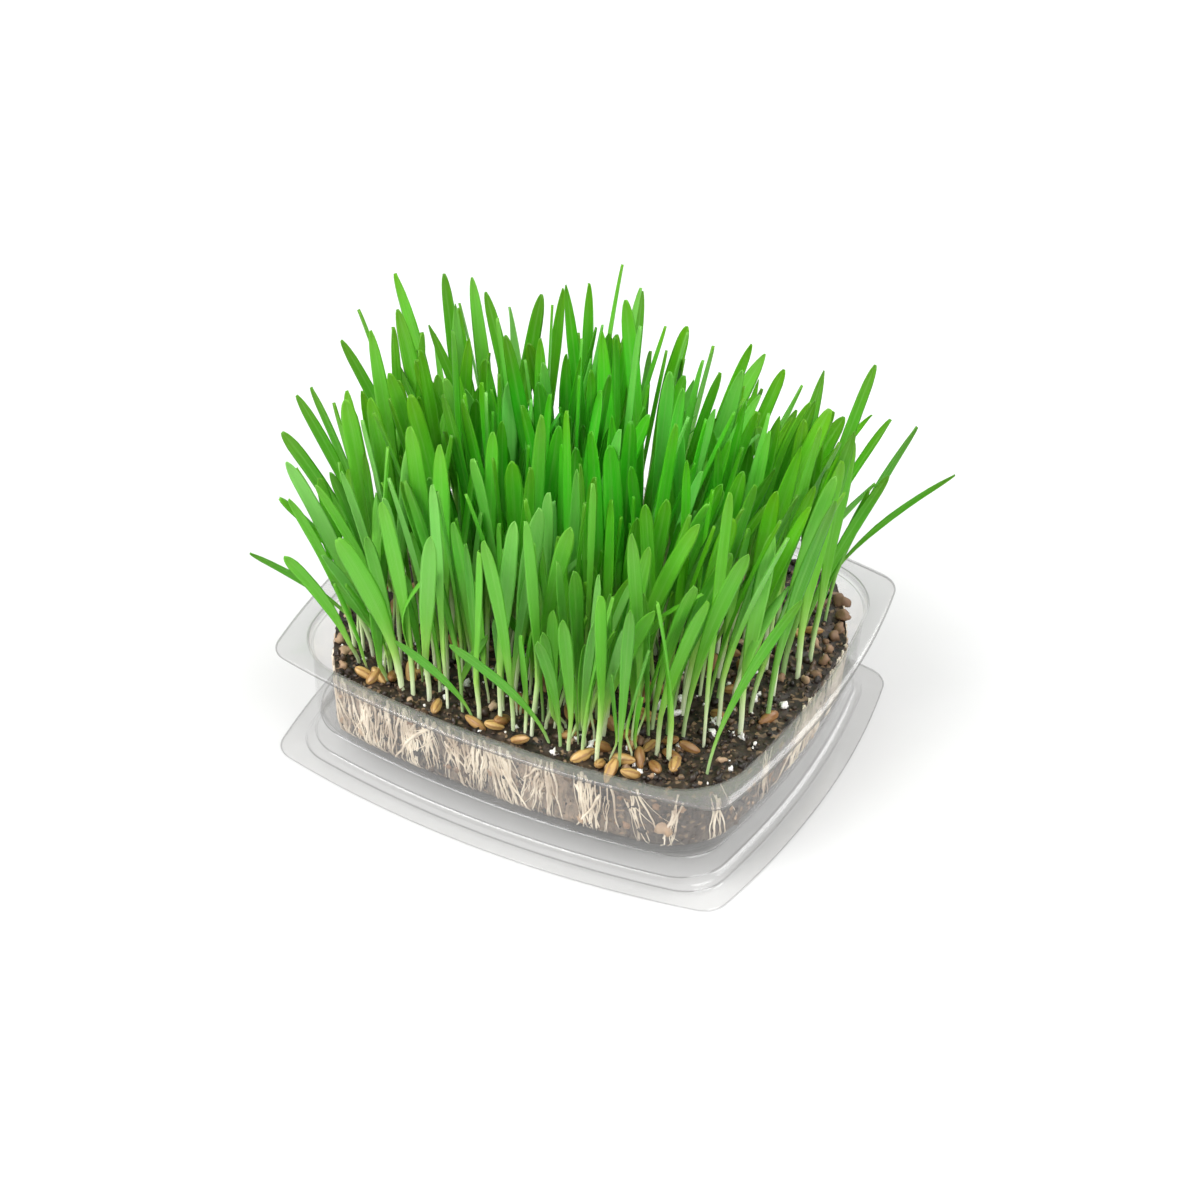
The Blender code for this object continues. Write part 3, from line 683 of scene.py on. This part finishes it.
# Spare wheat kernels that never sprouted lie on the soil, golden brown with darker stripes along them. One is
# modelled, an egg with blunt ends and a crease along its belly, and the others are its copies.
KERNEL_SIZE = (0.0076, 0.0037, 0.0034)
KERNEL_SPOTS = (
    (0.0192, -0.0522), (0.0340, -0.0445), (0.0310, -0.0522), (0.0381, -0.0543), (0.0422, -0.0519),
    (0.0459, -0.0402), (0.0373, -0.0600), (0.0348, -0.0331), (0.0229, -0.0205), (0.0333, -0.0202),
    (0.0525, -0.0228), (0.0490, -0.0454), (0.0428, -0.0586), (-0.0376, -0.0531), (-0.0448, -0.0565),
    (0.0013, -0.0478), (-0.0190, -0.0596), (0.0223, -0.0441), (0.0282, -0.0418), (0.0332, -0.0587),
    (0.0274, -0.0579), (0.0474, -0.0529), (0.0520, -0.0401), (0.0415, -0.0445), (0.0311, -0.0144),
    (-0.0413, -0.0291), (0.0006, -0.0560), (0.0150, -0.0430), (0.0090, -0.0610), (-0.0060, -0.0600),
)
KERNELS_ELSEWHERE = 55
kernel_mesh = lying_ball(14, 10)
for corner in kernel_mesh.vertices:
    x, y, z = corner.co
    belly = 1 - 0.22 * (x + 0.5)
    crease = 0.16 * math.exp(-((y / 0.10) ** 2)) if z > 0 else 0.0
    corner.co = (x, y * belly, z * belly * (1 - crease * 1.6))
placed = []
for x, y in list(KERNEL_SPOTS) + spots_on_soil(draw, KERNELS_ELSEWHERE, 0.0045):
    scale = draw.uniform(0.85, 1.08)
    turns = (draw.uniform(-1.2, 1.2), draw.uniform(-0.8, 0.8), draw.uniform(0, 2 * math.pi))
    sizes = [size * scale for size in KERNEL_SIZE]
    placed.append(((x, y, soil_height(x, y) + 0.0010), sizes, turns, draw.random()))
kernels = copies("wheat_kernels", [kernel_mesh], placed)
bran, shader, tint = new_finish("bran")
own = tint.carried("own", 1)
across = own.part(1)
deep = own.part(2)
tone = tint.carried("tone")
round_it = tint.maths("ARCTAN2", across, deep)
place = tint.place()
wander = place.noise(500.0, 2.0)
stripe = tint.maths("SINE", round_it * 5.0 + wander * 3.5).between(-0.2, 0.95)
skin = (tone * 0.7 + wander * 0.4).between(0.2, 0.9).mix((0.21, 0.095, 0.028), (0.52, 0.33, 0.115))
tint.feed(shader.inputs["Base Color"], (stripe * 0.7).mix(skin, (0.20, 0.080, 0.022)))
shader.inputs["Roughness"].default_value = 0.42
stripe.emboss(shader, 0.35, 0.0003)
finish_piece(kernels, bran, "kernels")

# Roots grow down between the soil and the tub's wall in cream threads, in bunches that part and wander. They
# hold the soil together. Fewer of them show round the front right corner.
ROOT_SEED = 5
ROOT_BUNCHES = 190
ROOT_POINTS = 9
FEWER_TOWARDS = -0.72
FEWER_WITHIN = 0.76
FEWER_SHARE = 0.58
draw = random.Random(ROOT_SEED)
root_curve = bpy.data.curves.new("root_threads", "CURVE")
root_curve.dimensions = "3D"
root_curve.bevel_depth = 1.0
root_curve.bevel_resolution = 0
root_curve.use_fill_caps = True
for bunch in range(ROOT_BUNCHES):
    bunch_angle = 2 * math.pi * (bunch + draw.uniform(-0.5, 0.5)) / ROOT_BUNCHES
    if math.cos(bunch_angle - FEWER_TOWARDS) > FEWER_WITHIN and draw.random() < FEWER_SHARE:
        continue
    bunch_drift = draw.gauss(0, 0.04)
    bunch_low = draw.uniform(0.010, 0.029)
    for _ in range(draw.randint(3, 11)):
        angle = bunch_angle + draw.gauss(0, 0.012)
        high = SOIL_TOP - draw.uniform(0.0, 0.009)
        low = max(SOIL_BASE + 0.0008, high - bunch_low * draw.uniform(0.5, 1.2))
        thick = 0.00014 + 0.00050 * draw.random() ** 2
        drift = bunch_drift + draw.gauss(0, 0.016 if draw.random() < 0.7 else 0.07)
        phase = draw.uniform(0, 6.28)
        proud = draw.uniform(0.0, 0.0005)
        line = root_curve.splines.new("POLY")
        line.points.add(ROOT_POINTS - 1)
        for index in range(ROOT_POINTS):
            share = index / (ROOT_POINTS - 1)
            turn = angle + drift * share + 0.004 * math.sin(phase + share * 9) + draw.gauss(0, 0.0012)
            spot = wall_point(turn, high + (low - high) * share, proud)
            line.points[index].co = (*spot, 1.0)
            line.points[index].radius = thick * (1 - 0.6 * share)
root_object = in_scene("root_threads", root_curve)
bpy.ops.object.select_all(action="DESELECT")
root_object.select_set(True)
bpy.context.view_layer.objects.active = root_object
bpy.ops.object.convert(target="MESH")
roots = bpy.context.object
bpy.ops.object.mode_set(mode="EDIT")
bpy.ops.mesh.select_all(action="SELECT")
bpy.ops.mesh.remove_doubles(threshold=0.00001)
face_outward()
bpy.ops.object.shade_smooth()
root_cream, shader, tint = new_finish("root_cream")
place = tint.place()
cloud = place.noise(120.0, 3.0)
tint.feed(shader.inputs["Base Color"], cloud.between(0.35, 0.65).mix((0.50, 0.39, 0.28), (0.90, 0.80, 0.64)))
shader.inputs["Roughness"].default_value = 0.6
finish_piece(roots, root_cream, "roots")

# The grass: each shoot is a pale stem that opens into a flat blade with a rounded tip. It grows by the same
# rule as the solids, from the same draws, so that each blade is the fine form of one of theirs.
ROWS = 12
ROW_PITCH = 0.0104
STRIP_TOP = SOIL_TOP - 0.0010
EDGE_MARGIN = 0.0060
BARE_CORNER = 0.096
ROOT_SPACING = 0.0055
ROOT_SHIFT = 0.0003
ROOT_SUNK = 0.0030
STATIONS = ((0.00, 0.36), (0.10, 0.38), (0.34, 0.48), (0.60, 0.94), (0.88, 0.84))
SECOND_LEAF = ((0.00, 0.30), (0.35, 0.80), (0.75, 0.85))
SECOND_LEAF_FROM = 0.32
SECOND_LEAF_SHARE = 0.10
SECOND_LEAF_WIDTH = 0.75
SECOND_LEAF_RISE = 0.42
SECOND_LEAF_TURN = 2.2
SECOND_LEAF_SINK = 0.002
SECOND_LEAF_BOW = 0.005
SECOND_LEAF_SPREAD = 0.011
BLADE_DEPTH = 0.0009
STEM_DEPTH = 0.78
CLEARANCE = 0.0003
SHOOT_HEIGHT = 0.075
FRONT_HEIGHT = 0.062
BACK_HEIGHT = 0.065
BACK_RIGHT_HEIGHT = 0.051
HEIGHT_SPREAD = 0.0085
BLADE_WIDTH = (0.0044, 0.0066)
LEAN_OUT = (0.015, 0.010)
LEAN_SPREAD = 0.0070
STEM_BEND = 0.0030
FACING = math.radians(-64)
FACING_SPREAD = math.radians(52)
TWIST = math.radians(38)
GROWTH_X = 0.088
GROWTH_Y = 0.078
GROWTH_TOP = 0.1395
TRIES = 60
NEIGHBOURHOOD = 0.045
GRASS_SEED = 11
LONE_SHOOTS = (
    ((-0.0600, -0.0364), (-GROWTH_X, -0.0503, 0.0589), 0.0040),
    ((0.0540, 0.0468), (GROWTH_X, 0.0576, 0.0842), 0.0036),
    ((0.0170, -0.0572), (-0.0084, -0.0700, 0.0675), 0.0046),
    ((-0.0080, -0.0572), (-0.0290, -0.0650, 0.0580), 0.0044),
    ((0.0605, -0.0468), (0.0790, -0.0350, 0.0923), 0.0048),
    ((0.0200, -0.0572), (0.0230, -GROWTH_Y, 0.0850), 0.0052),
    ((-0.0200, 0.0572), (-0.0260, GROWTH_Y, 0.1040), 0.0054),
    ((-0.0560, -0.0260), (-0.0830, -0.0300, 0.1037), 0.0056),
    ((-0.0520, -0.0052), (-0.0770, -0.0150, 0.1163), 0.0058),
    ((-0.0360, 0.0260), (-0.0550, 0.0300, 0.1175), 0.0066),
    ((-0.0160, 0.0260), (-0.0280, 0.0300, 0.1273), 0.0062),
    ((0.0520, 0.0364), (0.0610, 0.0540, 0.1150), 0.0058),
    ((0.0600, 0.0156), (0.0770, 0.0300, 0.0953), 0.0052),
)
FINE_SHARES = (
    *(0, 0.06, 0.13, 0.20, 0.28, 0.36, 0.44, 0.52, 0.60),
    *(0.68, 0.76, 0.83, 0.89, 0.935, 0.965, 0.985, 1.0),
)
BLUNT_WIDTHS = (
    *((0.0, 0.27), (0.12, 0.28), (0.30, 0.35), (0.45, 0.58), (0.62, 0.88)),
    *((0.76, 1.0), (0.88, 0.98), (0.94, 0.88), (0.98, 0.62), (1.0, 0.28)),
)
KEEN_WIDTHS = (
    *((0.0, 0.27), (0.12, 0.28), (0.30, 0.37), (0.45, 0.66), (0.60, 0.94)),
    *((0.70, 1.0), (0.82, 0.84), (0.91, 0.56), (0.97, 0.26), (1.0, 0.06)),
)
FINE_SECOND = ((0.0, 0.40), (0.35, 0.90), (0.60, 1.0), (0.80, 0.86), (0.93, 0.50), (1.0, 0.10))
LEAF_THICKNESS = 0.00034
RING_POINTS = 8
SECOND_STATIONS = 10
LONE_WIDTH = 0.66
LONE_TONE = 0.85


def smooth_step(value):
    """0 below 0, 1 above 1, and an easy rise between."""
    value = min(1.0, max(0.0, value))
    return value * value * (3 - 2 * value)


def inside(x, y, ring, margin):
    """Whether a point lies inside a convex ring of points and at least a margin from its edge."""
    for (ax, ay), (bx, by) in zip(ring, ring[1:] + ring[:1]):
        side = (bx - ax) * (y - ay) - (by - ay) * (x - ax)
        if side < margin * math.hypot(bx - ax, by - ay):
            return False
    return True


def shoot_height(x, y, draw):
    """How tall a shoot grows: less along the front and the back, and least in the back right corner."""
    front = smooth_step((-y - 0.028) / 0.030)
    back = smooth_step((y - 0.015) / 0.035)
    right = smooth_step((x + 0.010) / 0.050)
    back_height = BACK_HEIGHT + (BACK_RIGHT_HEIGHT - BACK_HEIGHT) * right
    height = SHOOT_HEIGHT + (FRONT_HEIGHT - SHOOT_HEIGHT) * front + (back_height - SHOOT_HEIGHT) * back
    return height + draw.gauss(0.0, HEIGHT_SPREAD)


def drawn_shoot(root, draw):
    """One shoot as the rule grows it: leaning out from the middle, the more the further out it stands."""
    x, y = root
    lean_x = LEAN_OUT[0] * x / (LENGTH / 2) + draw.gauss(0.0, LEAN_SPREAD)
    lean_y = LEAN_OUT[1] * y / (WIDTH / 2) + draw.gauss(0.0, LEAN_SPREAD)
    bend = (draw.uniform(-0.5, 0.5) * STEM_BEND, draw.uniform(-1.0, 1.0) * STEM_BEND)
    return {
        "drawn": True,
        "root": root,
        "lean": (lean_x, lean_y),
        "bend": bend,
        "height": shoot_height(x, y, draw),
        "width": draw.uniform(*BLADE_WIDTH),
        "facing": draw.gauss(FACING, FACING_SPREAD),
        "twist": draw.uniform(-TWIST, TWIST),
        "second": draw.random() < SECOND_LEAF_SHARE,
    }


def lone_shoot(root, tip, width, draw):
    """One of the shoots that stand apart, from its root to its tip."""
    return {
        "root": root,
        "lean": (tip[0] - root[0], tip[1] - root[1]),
        "bend": (0.0, 0.0),
        "height": tip[2] - SOIL_TOP,
        "width": width,
        "facing": FACING,
        "twist": draw.uniform(-0.3, 0.3) * TWIST,
        "second": False,
    }


def centre_at(shoot, share):
    """The middle of a shoot at a share of its height: upright out of its slot, then bending and leaning."""
    bend = smooth_step((share - 0.08) / 0.26)
    lean = share**1.7
    x = shoot["root"][0] + shoot["bend"][0] * bend * (1 - share) + shoot["lean"][0] * lean
    y = shoot["root"][1] + shoot["bend"][1] * bend * (1 - share) + shoot["lean"][1] * lean
    foot = STRIP_TOP - ROOT_SUNK
    return Vector((x, y, foot + (SOIL_TOP + shoot["height"] - foot) * share))


def section(centre, along, facing, width, depth):
    """A keeled section round its middle: two edges and the rib behind them."""
    face = Vector((math.cos(facing), math.sin(facing), 0.0))
    side = along.cross(face).normalized()
    front = side.cross(along).normalized()
    edges = centre + front * depth / 3
    return [edges - side * width / 2, edges + side * width / 2, edges - front * depth]


def blade_loft(sections, tip):
    """Corners and faces of a blade from its sections and its tip, closed at the foot."""
    corners = [corner for corners in sections for corner in corners] + [tip]
    faces = [(2, 1, 0)]
    for ring in range(len(sections) - 1):
        first = 3 * ring
        for edge in range(3):
            after = (edge + 1) % 3
            faces.append((first + edge, first + after, first + 3 + after))
            faces.append((first + edge, first + 3 + after, first + 3 + edge))
    last = 3 * (len(sections) - 1)
    faces += [(last + edge, last + (edge + 1) % 3, len(corners) - 1) for edge in range(3)]
    return corners, faces


def first_leaf(shoot, room):
    """The stem and its main blade as the solid has them, thicker all round by the room given."""
    sections = []
    for share, width in STATIONS:
        along = (centre_at(shoot, share + 0.02) - centre_at(shoot, share)).normalized()
        facing = shoot["facing"] + shoot["twist"] * share
        depth = BLADE_DEPTH if share > 0.5 else shoot["width"] * width * STEM_DEPTH
        wide = shoot["width"] * width + 2 * room
        sections.append(section(centre_at(shoot, share), along, facing, wide, depth + room))
    return blade_loft(sections, centre_at(shoot, 1.0))


def second_line(shoot):
    """Foot, tip and outward direction of the younger blade, which leaves the stem a third of the way up."""
    foot = centre_at(shoot, SECOND_LEAF_FROM)
    facing = shoot["facing"] + SECOND_LEAF_TURN
    away = Vector((math.cos(facing), math.sin(facing), 0.0))
    tip = foot + Vector((*shoot["lean"], shoot["height"])) * SECOND_LEAF_RISE + away * SECOND_LEAF_SPREAD
    foot.z -= SECOND_LEAF_SINK
    return foot, tip, away


def second_leaf(shoot, room):
    """The younger blade as the solid has it."""
    foot, tip, away = second_line(shoot)
    sections = []
    for share, width in SECOND_LEAF:
        centre = foot.lerp(tip, share) - away * SECOND_LEAF_BOW * math.sin(math.pi * share)
        wide = shoot["width"] * SECOND_LEAF_WIDTH * width + 2 * room
        along = (tip - foot).normalized()
        facing = shoot["facing"] + SECOND_LEAF_TURN
        sections.append(section(centre, along, facing, wide, BLADE_DEPTH + room))
    return blade_loft(sections, tip)


def shapes_of(shoot, room=0.0):
    """A shoot's closed shapes."""
    made = [first_leaf(shoot, room)]
    if shoot["second"]:
        made.append(second_leaf(shoot, room))
    return made


def tree_of(corners, faces):
    """A search tree over a shape's faces."""
    return BVHTree.FromPolygons([tuple(corner) for corner in corners], faces)


def in_reach(corners):
    """Whether a shape keeps inside the space that the grass fills."""
    return all(
        abs(corner[0]) < GROWTH_X - 0.001 and abs(corner[1]) < GROWTH_Y - 0.001 and corner[2] < GROWTH_TOP
        for corner in corners
    )


def is_clear(shoot, grown):
    """Whether a shoot, with room to spare, crosses none of those that stand already."""
    shapes = [tree_of(*shape) for shape in shapes_of(shoot, CLEARANCE)]
    near = [tree for root, trees in grown if math.dist(root, shoot["root"]) < NEIGHBOURHOOD for tree in trees]
    return not any(shape.overlap(tree) for shape in shapes for tree in near)


def grow(draw, rim):
    """Every row with its shoots: first those that stand apart, then the rest where there is room."""
    rows = [((row - (ROWS - 1) / 2) * ROW_PITCH, []) for row in range(ROWS)]
    grown = []
    for root, tip, width in LONE_SHOOTS:
        shoot = lone_shoot(root, tip, width, draw)
        grown.append((root, [tree_of(*shape) for shape in shapes_of(shoot)]))
        row = min(rows, key=lambda entry: abs(entry[0] - root[1]))
        row[1].append(shoot)
    for place_y, shoots in rows:
        steps = int(LENGTH / ROOT_SPACING)
        for step in range(steps):
            x = (step - steps / 2 + draw.uniform(0.2, 0.8)) * ROOT_SPACING
            y = place_y + draw.uniform(-ROOT_SHIFT, ROOT_SHIFT)
            if not inside(x, y, rim, EDGE_MARGIN) or x - y > BARE_CORNER:
                continue
            for _ in range(TRIES):
                shoot = drawn_shoot((x, y), draw)
                shapes = shapes_of(shoot)
                if all(in_reach(corners) for corners, _ in shapes) and is_clear(shoot, grown):
                    grown.append(((x, y), [tree_of(*shape) for shape in shapes]))
                    shoots.append(shoot)
                    break
    return rows, grown


def ring_of(centre, lead, facing, wide, rounding):
    """Points round a shoot: a tube where it is still rolled up, a thin shallow trough where it is open."""
    face = Vector((math.cos(facing), math.sin(facing), 0.0))
    side = lead.cross(face).normalized()
    front = side.cross(lead).normalized()
    points = []
    for step in range(RING_POINTS):
        turn = math.pi * step / (RING_POINTS / 2)
        across = -math.cos(turn)
        tube = 0.40 * wide * math.sin(turn)
        trough = 0.34 * BLADE_DEPTH - BLADE_DEPTH * (1 - abs(across) ** 1.4) * 0.9
        if 0 < step < RING_POINTS / 2:
            trough += LEAF_THICKNESS
        deep = tube * rounding + trough * (1 - rounding)
        points.append(centre + side * across * wide / 2 + front * deep)
    return points


def table_value(table, share):
    """Reads a table of shares and values, straight between its entries."""
    return float(np.interp(share, [entry[0] for entry in table], [entry[1] for entry in table]))


def fine_leaf(shoot, draw):
    """Rings up a stem and its main blade, with a tip between blunt and keen."""
    keen = draw.random() * (0.95 if shoot["root"][1] > 0.0 else 0.45)
    narrow = draw.uniform(0.80, 1.0) if "drawn" in shoot else LONE_WIDTH
    wave = draw.uniform(0, 2 * math.pi)
    rings = []
    for share in FINE_SHARES:
        lead = (centre_at(shoot, share + 0.02) - centre_at(shoot, share)).normalized()
        width = table_value(BLUNT_WIDTHS, share) * (1 - keen) + table_value(KEEN_WIDTHS, share) * keen
        wide = shoot["width"] * width * narrow * (1 + 0.04 * math.sin(wave + share * 17))
        rounding = 1 - smooth_step((share - 0.26) / 0.26)
        facing = shoot["facing"] + shoot["twist"] * share
        rings.append((share, ring_of(centre_at(shoot, share), lead, facing, wide, rounding)))
    return rings


def fine_second_leaf(shoot):
    """Rings up the younger blade."""
    foot, tip, away = second_line(shoot)
    lead = (tip - foot).normalized()
    rings = []
    for station in range(SECOND_STATIONS):
        share = station / (SECOND_STATIONS - 1)
        centre = foot.lerp(tip, share) - away * SECOND_LEAF_BOW * math.sin(math.pi * share)
        wide = shoot["width"] * SECOND_LEAF_WIDTH * table_value(FINE_SECOND, share)
        ring = ring_of(centre, lead, shoot["facing"] + SECOND_LEAF_TURN, wide, 0.0)
        rings.append((0.3 + 0.6 * share, ring))
    return rings


def leaves_piece(name, shoots, draw):
    """One piece with every leaf of the shoots given, each with its own tone."""
    points, faces, alongs, acrosses, tones = [], [], [], [], []
    for shoot in shoots:
        tone = draw.random() if "drawn" in shoot else LONE_TONE
        leaves = [fine_leaf(shoot, draw)]
        if shoot["second"]:
            leaves.append(fine_second_leaf(shoot))
        for rings in leaves:
            first = len(points)
            for share, ring in rings:
                points.extend(ring)
                alongs.extend([share] * RING_POINTS)
                acrosses.extend(-math.cos(math.pi * step / (RING_POINTS / 2)) for step in range(RING_POINTS))
            tones.extend([tone] * RING_POINTS * len(rings))
            for level in range(len(rings) - 1):
                low = first + RING_POINTS * level
                high = low + RING_POINTS
                for step in range(RING_POINTS):
                    after = (step + 1) % RING_POINTS
                    faces.append((low + step, low + after, high + after, high + step))
            last = first + RING_POINTS * (len(rings) - 1)
            faces.append(tuple(first + step for step in reversed(range(RING_POINTS))))
            faces.append(tuple(last + step for step in range(RING_POINTS)))
    return built_piece(name, points, faces, {"along": alongs, "across": acrosses, "tone": tones})


blade_green, shader, tint = new_finish("blade_green")
place = tint.place()
tone = tint.carried("tone")
along = tint.carried("along")
across = tint.carried("across")
patch = place.noise(22.0, 1.0)
shades = [
    (0.00, (0.86, 0.90, 0.70)),
    (0.13, (0.72, 0.83, 0.48)),
    (0.28, (0.38, 0.66, 0.120)),
    (0.50, (0.175, 0.56, 0.024)),
    (0.85, (0.125, 0.50, 0.012)),
    (1.00, (0.165, 0.42, 0.008)),
]
leaf = (along + tone * 0.10 - 0.05).ramp(shades)
# In the middle of the clump the blades are tinted brighter and bluer green: painted light, standing in for
# light that shines through the blades there.
heart = {0: place, 1: (0.0, 0.005, 0.085)}
inward = tint.add("ShaderNodeVectorMath", {"operation": "DISTANCE"}, heart, output=1)
painted_glow_share = (patch * 1.6 - inward * 20.0 + 0.45).between(0.05, 0.75) * along.between(0.25, 0.55)
# The blades at the front are mixed towards a lighter yellow green: painted light, for the lamps that light
# the clump from the front.
painted_front_light = place.part(1).between(-0.030, -0.062)
painted_glow = leaf.times(painted_glow_share, (0.50, 1.22, 1.45))
light = (painted_front_light * along.between(0.3, 0.6) * 0.45).mix(painted_glow, (0.23, 0.64, 0.10))
shaded = light.times(tone.between(0.5, 1.0), (0.36, 0.55, 0.30))
ribs = tint.maths("SINE", across * 42.0)
# Lighter along the middle of each blade: the midrib's own paler colour with a painted highlight along it.
midrib_and_highlight = (1.0 - tint.maths("ABSOLUTE", across)).between(0.80, 1.0) * 0.25
lengthwise = tint.add("ShaderNodeCombineXYZ", None, {0: across * 2.4 + tone * 40.0, 1: along * 1.6})
streaks = lengthwise.noise(2.6, 3.0)
streaked = (streaks.between(0.50, 0.72) * 0.30).mix(shaded, (0.32, 0.74, 0.12))
veined = midrib_and_highlight.mix(streaked, (0.34, 0.68, 0.16))
paled = ((1.0 - tone.between(0.0, 0.28)) * along.between(0.35, 0.7) * 0.42).mix(veined, (0.42, 0.75, 0.30))
tint.feed(shader.inputs["Base Color"], paled)
shader.inputs["Roughness"].default_value = 0.38
shader.inputs["Specular IOR Level"].default_value = 0.42
ribs.emboss(shader, 0.4, 0.0001)
through = tint.add("ShaderNodeBsdfTranslucent", None, {"Color": (0.27, 0.68, 0.025, 1.0)})
thin = along.between(0.12, 0.45) * (1.0 - tone.between(0.5, 1.0) * 0.45) * 0.40
add_layer(blade_green, shader, thin, through)

# The rim is the soil's own as the solid has it: the tub's wall at the height of the soil, set in a little.
WALL_HIGH = (0.0068, 0.0060, 0.0245, TUB_TOP - 0.0009)
WALL_LOW = (0.0080, 0.0066, 0.0245, TUB_FLOOR + 0.0038)
SET_IN = 0.0011
RIM_STEPS = 6
down = (WALL_HIGH[3] - SOIL_TOP) / (WALL_HIGH[3] - WALL_LOW[3])
inset_x, inset_y, bend = [high + (low - high) * down for high, low in zip(WALL_HIGH[:3], WALL_LOW[:3])]
rim = outline(inset_x + SET_IN, inset_y + SET_IN, bend - SET_IN, RIM_STEPS, RIM_STEPS)
rim = [shrunk(x, y) for x, y in rim]
tone_draw = random.Random(GRASS_SEED + 1)
rows, grown = grow(random.Random(GRASS_SEED), rim)
for number, (place_y, shoots) in enumerate(rows, start=1):
    row = leaves_piece(f"grass_leaves_{number:02d}", shoots, tone_draw)
    finish_piece(row, blade_green, "grass", f"grass_row_{number:02d}")

# Thinner, later shoots fill the room between the rows, except at the back and on the right. They grow by the
# same rule, each clear of the shoots that stand already.
LATE_SEED = 31
LATE_TRIES = 3400
LATE_WIDTH = (0.0026, 0.0044)
LATE_HEIGHT = (0.50, 0.95)
LATE_BEND = 2.2
LATE_REACH = (0.040, 0.022)
draw = random.Random(LATE_SEED)
late = []
for x, y in spots_on_soil(draw, LATE_TRIES, EDGE_MARGIN + 0.001):
    if x - y > BARE_CORNER or x > LATE_REACH[0] or y > LATE_REACH[1]:
        continue
    shoot = drawn_shoot((x, y), draw)
    shoot["width"] = draw.uniform(*LATE_WIDTH)
    shoot["height"] *= draw.uniform(*LATE_HEIGHT)
    shoot["bend"] = [LATE_BEND * part for part in shoot["bend"]]
    shoot["second"] = False
    shapes = shapes_of(shoot)
    if all(in_reach(corners) for corners, _ in shapes) and is_clear(shoot, grown):
        grown.append(((x, y), [tree_of(*shape) for shape in shapes]))
        late.append(shoot)
late_leaves = leaves_piece("grass_leaves_late", late, tone_draw)
finish_piece(late_leaves, blade_green, "grass")
